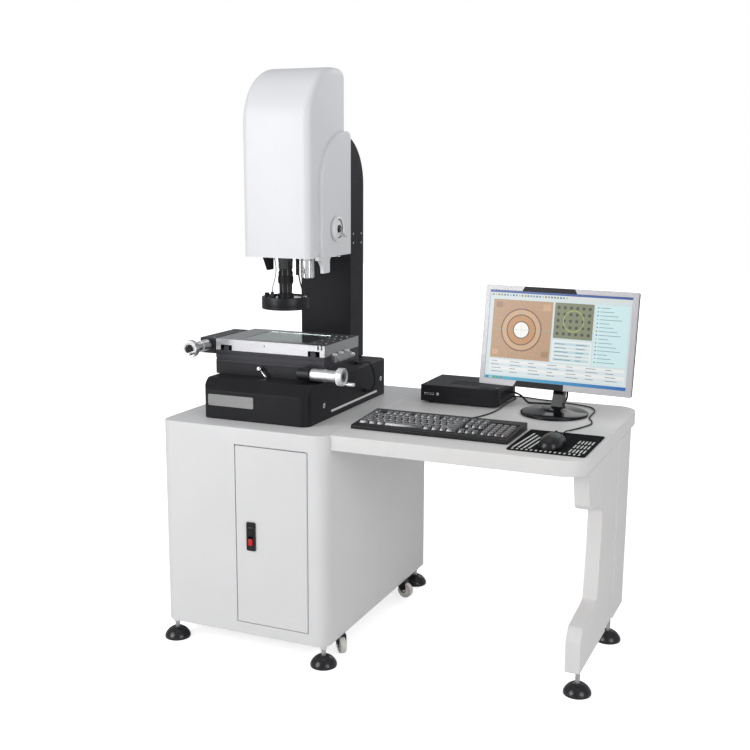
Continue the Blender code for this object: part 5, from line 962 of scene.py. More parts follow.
def optics():
    """Zoom lens, ring light, coaxial lamp and the small rods beside them."""
    at = (AXIS_X, LENS_Y, 0)
    tube = [(0, 0.9850), (0.0140, 0.9850), (0.0150, 0.9856), (0.0182, 0.9880), (0.0190, 0.9900),
            (0.0190, 1.0100), (0.0183, 1.0106), (0.0183, 1.0120), (0.0190, 1.0126), (0.0190, 1.0330),
            (0.0198, 1.0338), (0.0198, 1.0372), (0.0180, 1.0372), (0.0180, 1.0600), (0.0198, 1.0600),
            (0.0206, 1.0608), (0.0206, 1.0720), (0.0192, 1.0728), (0.0192, 1.0790), (0.0202, 1.0800),
            (0.0208, 1.0810), (0.0208, 1.1000), (0.0214, 1.1010), (0.0214, 1.1195), (0.0270, 1.1200),
            (0.0270, 1.3000), (0.0170, 1.3160), (0.0150, 1.3350), (0.0150, 1.3447), (0, 1.3447)]
    piece("lens_barrel", aimed(turned(tube, 72), at), LENS_BLACK, "head", "lens_tube", smooth=40)
    ribs = grown(RIBS, LENS_BLACK, Count=40, Radius=0.0206, Rib=(0.0010, 0.0016, 0.0100), Lift=1.0664)
    piece("lens_ribs", aimed(ribs, at), LENS_BLACK, "head")
    ring = [(0.0183, 1.0375), (0.0214, 1.0375), (0.0220, 1.0382), (0.0220, 1.0590), (0.0214, 1.0597),
            (0.0183, 1.0597)]
    piece("zoom_grip", aimed(turned(ring, 72, hollow=True), at), MOULDED_BLACK, "zoom_ring",
          "zoom_ring", smooth=40)
    ribs = grown(RIBS, MOULDED_BLACK, Count=50, Radius=0.0221, Rib=(0.0010, 0.0013, 0.0160), Lift=1.0486)
    piece("zoom_grip_ribs", aimed(ribs, at), MOULDED_BLACK, "zoom_ring")

    low, top = RING_LOW, RING_TOP
    bowl = [(0.0300, low + 0.004), (0.0655, low), (0.0690, low + 0.0006), (0.0704, low + 0.0020),
            (0.0704, low + 0.0100), (0.0697, low + 0.0106), (0.0697, low + 0.0116), (0.0704, low + 0.0122),
            (0.0704, top - 0.0030), (0.0696, top - 0.0008), (0.0678, top), (0.0630, top),
            (0.0612, top - 0.0010), (0.0600, top - 0.0040), (0.0590, top - 0.0080), (0.0300, low + 0.0240),
            (0.0243, low + 0.0260), (0.0243, top + 0.0060), (0.0233, top + 0.0068), (0.0193, top + 0.0060),
            (0.0193, low + 0.0200), (0.0160, low + 0.0180), (0.0160, low + 0.0120)]
    piece("ring_light_bowl", aimed(turned(bowl, 112, hollow=True), at), SATIN_BLACK, "head",
          "ring_light", smooth=40)
    # The board's faint glow is painted light in the shaded bowl
    board = [(0.0320, low + 0.0242), (0.0582, top - 0.0076), (0.0586, top - 0.0066), (0.0320, low + 0.0252)]
    piece("ring_light_board", aimed(turned(board, 96, hollow=True), at), LED_BOARD_PAINTED_GLOW, "head", smooth=40)
    lamps = grown(RIBS, LED_WHITE, Count=48, Radius=0.0480, Rib=(0.0042, 0.0042, 0.0040), Lift=low + 0.0032)
    piece("ring_light_lamps", aimed(lamps, at), LED_WHITE, "head", edge=0.0008)
    for name, (x, y, high) in RING_BOSSES:
        piece("ring_light_boss_" + name, rod(0.0045, (x, y, low + 0.015), (x, y, high), 28, 0.0006),
              MOULDED_BLACK, "head")
    knob = [(0, 0), (0.0058, 0), (0.0064, 0.0006), (0.0064, 0.0112), (0.0058, 0.0120), (0, 0.0120)]
    piece("clamp_knob", aimed(turned(knob, 36), CLAMP_KNOB), MOULDED_BLACK, "head")
    ribs = grown(RIBS, MOULDED_BLACK, Count=24, Radius=0.0064, Rib=(0.0010, 0.0009, 0.0100), Lift=0.0060)
    piece("clamp_knob_ribs", aimed(ribs, CLAMP_KNOB), MOULDED_BLACK, "head")
    bracket = box(0.2300, 0.2460, 0.2340, 0.2480, 0.9900, 1.0080)
    piece("clamp_block", bracket, SATIN_BLACK, "head", edge=0.0010)
    thumb = rod(0.0027, (0.3320, 0.2540, 1.0025), (0.3435, 0.2490, 1.0045), 24, 0.0005)
    piece("clamp_screw", thumb, BRIGHT_STEEL, "head")

    lamp = [(0, 1.0525), (0.0140, 1.0525), (0.0172, 1.0532), (0.0180, 1.0545), (0.0180, 1.1050),
            (0.0192, 1.1065), (0.0196, 1.1085), (0.0196, 1.1227), (0, 1.1227)]
    piece("lamp_housing", aimed(turned(lamp, 72), LAMP_AT), BRIGHT_STEEL, "head", "illuminator", smooth=40)
    fins = grown(RIBS, BRIGHT_STEEL, Count=16, Radius=0.0180, Rib=(0.0040, 0.0030, 0.0500), Lift=1.0800)
    piece("lamp_fins", aimed(fins, LAMP_AT), BRIGHT_STEEL, "head", edge=0.0006)
    piece("dark_rod", rod(0.0055, (0.290, 0.300, 1.060), (0.290, 0.300, SHELF_LOW - GAP), 36, 0.0008),
          SATIN_BLACK, "head")
    piece("silver_rod", rod(0.0030, (0.300, 0.306, 1.066), (0.300, 0.306, SHELF_LOW - GAP), 28, 0.0006),
          TURNED_Z, "head")


def hand_drive(name, centre, axis, crank, barrel_length, radius, look, body, barrel_body):
    """Micrometer barrel, knurled wheel and crank pin, made about Z and aimed along the drive's axis."""
    start = Vector(centre) - Vector(axis) * barrel_length
    sleeve = [(DRIVE_BORE_R, 0), (radius - 0.0042, 0), (radius - 0.0014, 0.0030), (radius - 0.0002, 0.0075),
              (radius, 0.0100), (radius, 0.60 * barrel_length), (radius - 0.0004, 0.603 * barrel_length),
              (radius - 0.0012, 0.61 * barrel_length), (radius - 0.0012, barrel_length - 0.0012),
              (radius - 0.0024, barrel_length), (DRIVE_BORE_R, barrel_length)]
    piece(name + "_sleeve", aimed(turned(sleeve, 72, hollow=True), start, axis), look, barrel_body,
          name + "_barrel", smooth=40)
    thick = 0.0265
    wheel = [(0, -0.010), (0.005, -0.010), (0.005, 0.0005), (0.0172, 0.0005), (0.0185, 0.0012),
             (0.0190, 0.0060), (0.0196, 0.0072), (0.0236, 0.0080), (0.0246, 0.0090),
             (0.0246, thick - 0.0014), (0.0236, thick), (0.0150, thick), (0.0138, thick - 0.0010),
             (0.0132, thick - 0.0100), (0, thick - 0.0100)]
    piece(name + "_wheel", aimed(turned(wheel, 96), centre, axis), look, body, name + "_handwheel", smooth=40)
    ribs = grown(RIBS, look, Count=72, Radius=0.02455, Rib=(0.0009, 0.0012, 0.0150), Lift=0.0170)
    piece(name + "_wheel_knurl", aimed(ribs, centre, axis), look, body)
    # Dark disc with a centre boss at the bottom of the wheel's recess: painted shade in the recess
    recess_shade = [(0, thick - 0.0101), (0.0126, thick - 0.0101), (0.0126, thick - 0.0092), (0.0060, thick - 0.0088),
           (0.0050, thick - 0.0060), (0, thick - 0.0058)]
    piece(name + "_wheel_recess_shade", aimed(turned(recess_shade, 48), centre, axis), DARK_PARTS_AND_SHADE, body, smooth=40)
    root = Vector(centre) + Vector(crank) * 0.0195 + Vector(axis) * (thick - 0.003)
    pin = [(0, 0), (0.0036, 0), (0.0036, 0.0045), (0.0030, 0.0052), (0.0044, 0.0068), (0.0052, 0.0110),
           (0.0051, 0.0260), (0.0046, 0.0322), (0.0034, 0.0340), (0, 0.0342)]
    piece(name + "_crank", aimed(turned(pin, 40), root, axis), look, body, smooth=50)


def stage():
    """Three-layer stage with its drives, glass, lock lever and scale reader."""
    left, right, front, rear = STAGE
    ways = [box(left, right, y - 0.008, y + 0.008, STAGE_LOW + 0.0325, STAGE_LOW + 0.0435)
            for y in STAGE_WAYS]
    nose = rod(0.018, (0.374, NOSE_Y, X_DRIVE_Z), (0.4097, NOSE_Y, X_DRIVE_Z), 56)
    web = box(0.376, 0.4077, NOSE_Y, front + 0.002, 0.782, STAGE_LOW + 0.0335)
    gland = rod(0.005, (right - 0.002, *STAGE_GLAND), (right + 0.008, *STAGE_GLAND), 28)
    bed = worked(box(left, right, front, rear, STAGE_LOW, STAGE_LOW + 0.0345),
                 joins=[*ways, nose, web, gland])
    well = rod(0.040, (AXIS_X, STAGE_Y, STAGE_LOW + 0.0105), (AXIS_X, STAGE_Y, STAGE_LOW + 0.050), 72)
    lever_x, lever_z = LOCK_LEVER
    bores = [rod(DRIVE_BORE_R, (0.3977, NOSE_Y, X_DRIVE_Z), (0.412, NOSE_Y, X_DRIVE_Z), 28),
             rod(0.0033, (lever_x, front - 0.002, lever_z), (lever_x, front + 0.010, lever_z), 20)]
    piece("stage_bed", worked(bed, cuts=[well, *bores]), SATIN_BLACK, replaces="stage_base", edge=0.0009)
    lens = [(0, STAGE_LOW + 0.0106), (0.0395, STAGE_LOW + 0.0106), (0.0395, STAGE_LOW + 0.0125),
            (0.0300, STAGE_LOW + 0.0160), (0.0160, STAGE_LOW + 0.0186), (0, STAGE_LOW + 0.0196)]
    piece("backlight_lens", aimed(turned(lens, 64), (AXIS_X, STAGE_Y, 0)), LED_WHITE, smooth=40)

    block = box(left, right, front, rear, CARRIAGE_LOW, CARRIAGE_LOW + 0.0345)
    rails = [box(x, x + 0.016, front, rear, CARRIAGE_LOW + 0.0325, CARRIAGE_LOW + 0.0482)
             for x in (0.115, 0.397)]
    slots = [box(left - 0.002, right + 0.002, y - 0.0084, y + 0.0084,
                 CARRIAGE_LOW - 0.002, STAGE_LOW + 0.0439)
             for y in STAGE_WAYS]
    grooves = [box(left - 0.002, right + 0.002, near, far, low, high)
               for near, far in ((front - 0.002, front + 0.0025), (rear - 0.0025, rear + 0.002))
               for low, high in ((0.8170, 0.8220), (0.8340, 0.8380))]
    window = box(AXIS_X - 0.105, AXIS_X + 0.105, STAGE_Y - 0.080, STAGE_Y + 0.080, 0.800, 0.850)
    body = worked(worked(block, joins=rails), cuts=[*slots, *grooves, window])
    piece("x_slide_block", body, ANODISED, "x_slide_body", "x_carriage", edge=0.0007)

    plate = box(left, right, 0.170, 0.398, TABLE_LOW, TABLE_TOP)
    channels = [box(x, x + 0.0375, 0.168, 0.400, TABLE_LOW - 0.002, TABLE_LOW + 0.0154)
                for x in (0.1025, 0.388)]
    seat = TABLE_TOP - GAP - GLASS_THICK
    glass_seat = box(AXIS_X - 0.1055, AXIS_X + 0.1055, STAGE_Y - 0.0805, STAGE_Y + 0.0805, seat - GAP,
                     TABLE_TOP + 0.002)
    light_way = box(AXIS_X - 0.100, AXIS_X + 0.100, STAGE_Y - 0.075, STAGE_Y + 0.075, TABLE_LOW - 0.002,
                    TABLE_TOP + 0.002)
    holes = [rod(0.0022, (0.2480, 0.166, 0.8640), (0.2480, 0.180, 0.8640), 20)]
    holes += [rod(0.0021, (x, y, TABLE_TOP - 0.010), (x, y, TABLE_TOP + 0.002), 20)
              for x in (0.130, 0.400) for y in (0.184, 0.385)]
    slots = [box(x, x + 0.0050, 0.168, 0.176, TABLE_TOP - 0.0125, TABLE_TOP + 0.001)
             for x in (0.4185, 0.4290)]
    table = worked(plate, cuts=[*channels, glass_seat, light_way, *holes, *slots])
    piece("table_plate", table, MILLED, "table", "stage_table", edge=0.0006)
    heads = [(x, y, TABLE_TOP - 0.0008) for x in (0.388, 0.406, 0.424) for y in (0.215, 0.262, 0.309, 0.356)]
    screws("table_screws", BRIGHT_STEEL, heads, (0, 0, 1), 0.0030, 0.0020, "table")
    screws("table_front_screws", SATIN_BLACK, [(x, 0.1694, 0.8500) for x in (0.1150, 0.1270, 0.4010, 0.4130)],
           (0, -1, 0), 0.0030, 0.0022, "x_slide_body")
    pane = box(AXIS_X - 0.105, AXIS_X + 0.105, STAGE_Y - 0.080, STAGE_Y + 0.080, seat, seat + GLASS_THICK)
    piece("glass_pane", pane, clear_glass(), "table", "stage_glass", edge=0.0005)

    back = left - GAP
    housing = box(back - 0.0537, back, front, 0.363, 0.832, 0.878)
    drive_x, _, drive_z = Y_WHEEL
    bore = rod(DRIVE_BORE_R, (drive_x, front - 0.002, drive_z), (drive_x, front + 0.012, drive_z), 28)
    cover_line = box(back - 0.060, back + 0.001, 0.3375, 0.3385, 0.830, 0.880)
    piece("y_drive_case", worked(housing, cuts=[bore, cover_line]), SATIN_BLACK, "x_slide_body",
          "y_drive_housing", edge=0.0032, segments=4)
    screws("y_case_screws", GROUND_STEEL,
           [(back - x, y, 0.8778) for x in (0.010, 0.044) for y in (0.180, 0.325)],
           (0, 0, 1), 0.0028, 0.0018, "x_slide_body")

    hand_drive("x", X_WHEEL, (1, 0, 0), (0, 0.1, -0.995), X_WHEEL[0] - X_NOSE_END, 0.0176, TURNED_X,
               "x_handwheel", "workstation")
    hand_drive("y", Y_WHEEL, (0, -1, 0), (0.9, 0, -0.436), Y_DRIVE_FRONT - Y_WHEEL[1], 0.0164, TURNED_Y,
               "y_handwheel", "x_slide_body")

    face = front - GAP
    boss = [(0, -0.009), (0.003, -0.009), (0.003, 0), (0.0070, 0), (0.0075, 0.0006), (0.0075, 0.0180),
            (0.0068, 0.0196), (0.0050, 0.0208), (0, 0.0212)]
    hub = aimed(turned(boss, 40), (lever_x, face, lever_z), (0, -1, 0))
    lean = math.radians(LOCK_LEVER_LEAN)
    down = Vector((math.sin(lean), 0, -math.cos(lean)))
    root = Vector((lever_x, face - 0.013, lever_z))
    arm = [(0, 0), (0.0024, 0), (0.0026, 0.020), (0.0034, 0.024), (0.0040, 0.028),
           (0.0034, 0.0312), (0, 0.0322)]
    piece("lock_lever_hub", gathered(hub, aimed(turned(arm, 32), root, down)), BRIGHT_STEEL, "lock_lever",
          "lock_lever", smooth=45)

    near = right + GAP
    bar_x, bar_z = near + 0.0083, 0.830
    rail = box(near, near + 0.016, 0.205, 0.315, 0.827, 0.844)
    body = rod(0.008, (bar_x, 0.235, bar_z), (bar_x, 0.333, bar_z), 40)
    piece("scale_body", worked(rail, joins=[body]), MILLED, "x_slide_body", "scale_reader", edge=0.0008)
    tip = gathered(rod(0.0055, (bar_x, 0.325, bar_z), (bar_x, 0.345, bar_z), 32, 0.0008),
                   rod(0.0062, (bar_x, 0.338, bar_z), (bar_x, 0.3415, bar_z), 32, 0.0004))
    piece("scale_plug", tip, WHITE_PLASTIC, "x_slide_body")
    blocks = [box(near + 0.0015, near + 0.0135, y, y + 0.0120, 0.8442, 0.8500)
              for y in (0.2130, 0.2540, 0.2950)]
    piece("scale_blocks", gathered(*blocks), WHITE_PLASTIC, "x_slide_body", edge=0.0009)
    screws("scale_screws", GROUND_STEEL, [(near + 0.0162, y, 0.8385) for y in (0.2190, 0.2600, 0.3010)],
           (1, 0, 0), 0.0028, 0.0020, "x_slide_body")


def clear_glass():
    """Glass of the stage's plate, a little wavy."""
    made, tree, shader = blank("stage_glass_clear", Base_Color=(0.66, 0.77, 0.75, 1), Roughness=0.02,
                               Transmission_Weight=1.0, IOR=1.50)
    smear = node(tree, "ShaderNodeTexNoise")
    smear.inputs["Scale"].default_value = 30.0
    bump = node(tree, "ShaderNodeBump")
    bump.inputs["Strength"].default_value = 0.01
    bump.inputs["Distance"].default_value = 0.0002
    wire(tree, (node(tree, "ShaderNodeTexCoord").outputs["Object"], smear.inputs["Vector"]),
         (smear.outputs["Fac"], bump.inputs["Height"]), (bump.outputs["Normal"], shader.inputs["Normal"]))
    return made


def weave():
    """Fine cloth of the mouse pad: crossed threads in colour and bump."""
    made, tree, shader = blank("pad_cloth", Roughness=0.85, Specular_IOR_Level=0.10)
    place = node(tree, "ShaderNodeTexCoord").outputs["Object"]
    bands = []
    for direction in ("X", "Y"):
        band = node(tree, "ShaderNodeTexWave", bands_direction=direction)
        band.inputs["Scale"].default_value = 330.0
        band.inputs["Distortion"].default_value = 0.6
        wire(tree, (place, band.inputs["Vector"]))
        bands.append(band.outputs["Fac"])
    threads = maths(tree, "MULTIPLY", *bands)
    tint = node(tree, "ShaderNodeMix", data_type="RGBA")
    tint.inputs["A"].default_value = (0.005, 0.005, 0.006, 1)
    tint.inputs["B"].default_value = (0.014, 0.014, 0.015, 1)
    bump = node(tree, "ShaderNodeBump")
    bump.inputs["Strength"].default_value = 0.5
    bump.inputs["Distance"].default_value = 0.0003
    wire(tree, (threads, tint.inputs["Factor"]), (tint.outputs["Result"], shader.inputs["Base Color"]),
         (threads, bump.inputs["Height"]), (bump.outputs["Normal"], shader.inputs["Normal"]))
    return made


def small_pc():
    """Low PC on four feet: textured case with a cut corner, side vents, front and rear sockets."""
    left, right, front, rear = PC
    cut = 0.014
    plan = [(left, front), (right - cut, front), (right, front + cut), (right, rear), (left, rear)]
    case = prism(plan, "Z", PC_LOW, PC_TOP)
    step = (0, 0.0075, 0)
    tools = []
    for x in (left, right):
        slots = grown(ROW, DARK_PARTS_AND_SHADE, Count=17, Step=step, Block=(0.005, 0.0036, 0.020))
        slots.transform(Matrix.Translation((x, front + 0.038, PC_LOW + 0.027)))
        tools.append(slots)
    for y in (front + 0.055, front + 0.075, front + 0.095):
        slots = grown(ROW, DARK_PARTS_AND_SHADE, Count=12, Step=(0.0075, 0, 0), Block=(0.0040, 0.0120, 0.005))
        slots.transform(Matrix.Translation((left + 0.080, y, PC_TOP)))
        tools.append(slots)
    ports = [(left + 0.012, 0.013, PC_LOW + 0.0210, 0.0056), (left + 0.030, 0.013, PC_LOW + 0.0210, 0.0056)]
    tools += [box(x, x + w, front - 0.001, front + 0.008, z, z + h) for x, w, z, h in ports]
    rear_ports = [(0.700, 0.016, 0.012, 0.012), (0.722, 0.014, 0.012, 0.006), (0.722, 0.014, 0.022, 0.006),
                  (0.742, 0.030, 0.012, 0.010), (0.778, 0.012, 0.012, 0.010), (0.640, 0.022, 0.012, 0.016)]
    tools += [box(x, x + w, rear - 0.007, rear + 0.001, PC_LOW + z, PC_LOW + z + h)
              for x, w, z, h in rear_ports]
    piece("pc_case", worked(case, cuts=tools), CRINKLE_BLACK, replaces="pc_box", edge=0.0011, corner=40)
    fronts = []
    for x, w, z, h in ports:
        fronts.append(worked(box(x, x + w, front - 0.0006, front + 0.007, z, z + h),
                             cuts=[box(x + 0.0008, x + w - 0.0008, front - 0.002, front + 0.009,
                                       z + 0.0007, z + h - 0.0007)]))
    piece("pc_socket_shells", gathered(*fronts), BRIGHT_STEEL)
    tongues = [box(x + 0.002, x + w - 0.002, front + 0.0008, front + 0.006, z + 0.0030, z + 0.0044)
               for x, w, z, _ in ports]
    piece("pc_socket_tongues", gathered(*tongues), DARK_PARTS_AND_SHADE)
    button = [(0, 0), (0.0040, 0), (0.0046, 0.0006), (0.0046, 0.0014), (0.0040, 0.0020), (0, 0.0018)]
    at = (left + 0.055, front + 0.0004, PC_LOW + 0.0238)
    piece("pc_button", aimed(turned(button, 32), at, (0, -1, 0)), SILVER_PAINT, smooth=50)
    shells = []
    for x, w, z, h in rear_ports:
        shells.append(worked(box(x, x + w, rear - 0.006, rear + 0.0006, PC_LOW + z, PC_LOW + z + h),
                             cuts=[box(x + 0.001, x + w - 0.001, rear - 0.008, rear + 0.002,
                                       PC_LOW + z + 0.001, PC_LOW + z + h - 0.001)]))
    piece("pc_rear_sockets", gathered(*shells), GROUND_STEEL)
    pads = [rod(0.008, (x, y, PC_LOW - PC_FEET), (x, y, PC_LOW + 0.0005), 36, 0.001)
            for x in (left + 0.025, right - 0.025) for y in (front + 0.025, rear - 0.025)]
    piece("pc_feet", gathered(*pads), RUBBER)
    screws("pc_top_screws", GROUND_STEEL, [(x, y, PC_TOP + 0.0003) for x in (left + 0.010, right - 0.010)
                                           for y in (front + 0.030, rear - 0.012)], (0, 0, 1), 0.0024, 0.0012)


def key_rows():
    """Each key as (left, row, width) in key pitches from the field's front left corner."""
    rows = [((0, 1.5), (1.5, 1.25), (2.75, 1.25), (4, 6), (10, 1.25), (11.25, 1.25), (12.5, 1), (13.5, 1.5)),
            ((0, 2.25), *((2.25 + n, 1) for n in range(10)), (12.25, 2.75)),
            ((0, 1.75), *((1.75 + n, 1) for n in range(11)), (12.75, 2.25)),
            ((0, 1.5), *((1.5 + n, 1) for n in range(12)), (13.5, 1.5)),
            (*((n, 1) for n in range(13)), (13, 2))]
    keys = [(left, row, width) for row, line in enumerate(rows) for left, width in line]
    for left in (0, 2, 3, 4, 5, 6.5, 7.5, 8.5, 9.5, 11, 12, 13, 14, 15.3, 16.3, 17.3):
        keys.append((left, 5.4, 1))
    cluster = ((15.3, 0), (16.3, 0), (17.3, 0), (16.3, 1), (15.3, 3), (16.3, 3), (17.3, 3),
               (15.3, 4), (16.3, 4), (17.3, 4))
    keys += [(left, row, 1) for left, row in cluster]
    for row in range(5):
        keys += [(18.6 + n, row, 1) for n in range(4)]
    return keys


def keyboard():
    """Wedge case with a raised rim, and dished caps in rows."""
    left, wide, front, deep = KEYBOARD
    lift = WORKTOP + GAP
    slope = math.atan2(KEYBOARD_REAR_HIGH - KEYBOARD_FRONT_HIGH, deep)
    side = rounded([(front, lift, 0.0015), (front + deep, lift, 0.0015),
                    (front + deep, lift + KEYBOARD_REAR_HIGH, 0.0045),
                    (front, lift + KEYBOARD_FRONT_HIGH, 0.0045)], 8)
    top = Matrix.Translation((left, front, lift + KEYBOARD_FRONT_HIGH)) @ Matrix.Rotation(slope, 4, "X")
    field_w, field_d = 22.6 * KEY_PITCH, 6.4 * KEY_PITCH
    margin = (wide - field_w) / 2
    well = box(margin, margin + field_w, KEYS_FRONT, KEYS_FRONT + field_d, -0.0026, 0.006)
    well.transform(top)
    case = worked(prism(side, "X", left, left + wide), cuts=[well])
    piece("keyboard_shell", case, MOULDED_BLACK, replaces="keyboard_case", edge=0.0012, corner=30)
    caps = []
    for key_left, row, width in key_rows():
        x = margin + (key_left + 0.5 * width) * KEY_PITCH
        y = KEYS_FRONT + (row + 0.5) * KEY_PITCH
        half = width * KEY_PITCH / 2 - 0.0011
        levels = ((-0.0022, half, 0.00860, 0.0012), (0.0030, half - 0.0010, 0.00750, 0.0016),
                  (0.0058, half - 0.0022, 0.00630, 0.0020), (0.0065, half - 0.0029, 0.00560, 0.0018),
                  (0.0062, half - 0.0040, 0.00460, 0.0014))
        caps.append(loft([[(x + u, y + v + 0.0004 * (z > 0), z) for u, v in rectangle(-a, a, -b, b, r, 3)]
                          for z, a, b, r in levels]))
    keys = gathered(*caps)
    keys.transform(top)
    piece("keyboard_caps", keys, KEY_BLACK, replaces="keyboard_keys", smooth=50)
    lamp_y = KEYS_FRONT + 5.75 * KEY_PITCH
    lamps = [box(x, x + 0.005, lamp_y, lamp_y + 0.0014, -0.0027, -0.0020)
             for x in (margin + (18.9 + n) * KEY_PITCH for n in range(3))]
    windows = gathered(*lamps)
    windows.transform(top)
    piece("keyboard_lamps", windows, WHITE_PLASTIC)
    relief = [(0, -0.002), (0.0036, -0.002), (0.0036, 0.0010), (0.0029, 0.0020), (0.0032, 0.0032),
              (0.0027, 0.0044), (0.0030, 0.0056), (0.0025, 0.0068), (0.0028, 0.0080), (0.0023, 0.0092),
              (0.0022, 0.0120), (0, 0.0120)]
    exit_at = (KEYBOARD_CORD_X, front + deep, WORKTOP + 0.008)
    return piece("keyboard_relief", aimed(turned(relief, 32), exit_at, (0, 1, 0)), RUBBER)


def mouse_and_pad():
    """Cloth pad with a plain light trim, and the mouse with its seams and wheel."""
    left, right, front, rear = PAD
    low = WORKTOP + GAP
    pad = prism(rectangle(left, right, front, rear, 0.008, 10), "Z", low, low + PAD_THICK)
    piece("pad_sheet", pad, weave(), replaces="mouse_pad", edge=0.0007, corner=60)
    print_low, print_top = low + PAD_THICK - 0.0001, low + PAD_THICK + 0.00015
    bars = []
    for n in range(4):
        x = left + 0.010 + 0.0136 * n
        long = 0.168 - 0.018 * n
        bars.append(prism([(x, front + 0.026), (x + 0.0054, front + 0.026),
                           (x + 0.0054 + 0.06 * long, front + 0.026 + long),
                           (x + 0.06 * long, front + 0.026 + long)], "Z", print_low, print_top))
    for n in range(15):
        x = left + 0.012 + 0.0124 * n
        bars.append(box(x, x + 0.0052, front + 0.0060, front + 0.0185, print_low, print_top))
    for n in range(5):
        x = right - 0.050 + 0.0092 * n
        for y in (front + 0.030, front + 0.078, front + 0.126):
            bars.append(box(x, x + 0.0042, y, y + 0.034, print_low, print_top))
    piece("pad_print", gathered(*bars), GREY_PRINT)

    at_x, at_y, wide, long, high = MOUSE
    floor = low + PAD_THICK + GAP
    seam_y = at_y + 0.012
    stops = sorted({-math.cos(math.pi * (0.03 + 0.94 * n / 56)) for n in range(57)}
                   | {(seam_y + d - at_y) / (long / 2) for d in (-0.0009, -0.0003, 0.0003, 0.0009)})
    turns = sorted({math.pi * n / 44 for n in range(45)}
                   | {math.pi / 2 + d for d in (-0.030, -0.012, 0.012, 0.030)})
    rings = []
    for share in stops:
        y = at_y + share * long / 2
        swell = (1 - share ** 2) ** 0.42
        height = high * swell * (1 - 0.12 * share)
        half = wide / 2 * (1 - abs(share) ** 3) ** 0.4 * (1 - 0.055 * math.exp(-((share - 0.15) / 0.35) ** 2))
        ring = []
        for a in turns:
            drop = 0.0
            if y > seam_y and abs(a - math.pi / 2) < 0.02:
                drop = 0.0011
            if abs(y - seam_y) < 0.0005 and 0.35 < a < math.pi - 0.35:
                drop = 0.0009
            up = max(0.0, math.sin(a)) ** 0.8
            ring.append((at_x + half * math.cos(a), y,
                         floor + 0.0015 + max(0.0, height * up - drop * min(1, up * 2))))
        ring += [(at_x - 0.94 * half, y, floor), (at_x + 0.94 * half, y, floor)]
        rings.append(ring)
    piece("mouse_shell", loft(rings), MOUSE_BLACK, replaces="mouse", smooth=40)
    wheel = [(0.0060, -0.0030), (0.0092, -0.0030), (0.0099, -0.0020), (0.0099, 0.0020), (0.0092, 0.0030),
             (0.0060, 0.0030)]
    hub = (at_x, at_y + 0.034, floor + 0.0225)
    piece("mouse_wheel", aimed(turned(wheel, 48, hollow=True), hub, (1, 0, 0)), RUBBER, smooth=50)
    relief = [(0, -0.004), (0.0034, -0.004), (0.0034, 0.0012), (0.0027, 0.0022), (0.0030, 0.0034),
              (0.0025, 0.0046), (0.0028, 0.0058), (0.0023, 0.0070), (0.0022, 0.0100), (0, 0.0100)]
    exit_at = (at_x, at_y + long / 2, CORD_Z + PAD_THICK + 0.004)
    return piece("mouse_relief", aimed(turned(relief, 32), exit_at, (0, 1, 0)), RUBBER)


def screen_look():
    """Lit screen: colours painted on the mesh, with a fine mottle where the camera's picture shows."""
    made, tree, shader = blank("lit_screen", Roughness=0.28, Emission_Strength=0.85)
    tint = node(tree, "ShaderNodeAttribute", attribute_name="Tint")
    mask = node(tree, "ShaderNodeAttribute", attribute_name="Mottle")
    grain = node(tree, "ShaderNodeTexNoise")
    grain.inputs["Scale"].default_value = 420.0
    grain.inputs["Detail"].default_value = 4.0
    swing = maths(tree, "MULTIPLY", maths(tree, "SUBTRACT", grain.outputs["Fac"], 0.5), 1.1)
    shade = maths(tree, "ADD", maths(tree, "MULTIPLY", swing, mask.outputs["Fac"]), 1.0)
    lit = node(tree, "ShaderNodeVectorMath", operation="SCALE")
    dim = node(tree, "ShaderNodeVectorMath", operation="SCALE")
    dim.inputs["Scale"].default_value = 0.12
    wire(tree, (node(tree, "ShaderNodeTexCoord").outputs["Object"], grain.inputs["Vector"]),
         (tint.outputs["Color"], lit.inputs[0]), (shade, lit.inputs["Scale"]),
         (lit.outputs[0], dim.inputs[0]),
         (lit.outputs[0], shader.inputs["Emission Color"]), (dim.outputs[0], shader.inputs["Base Color"]))
    return made


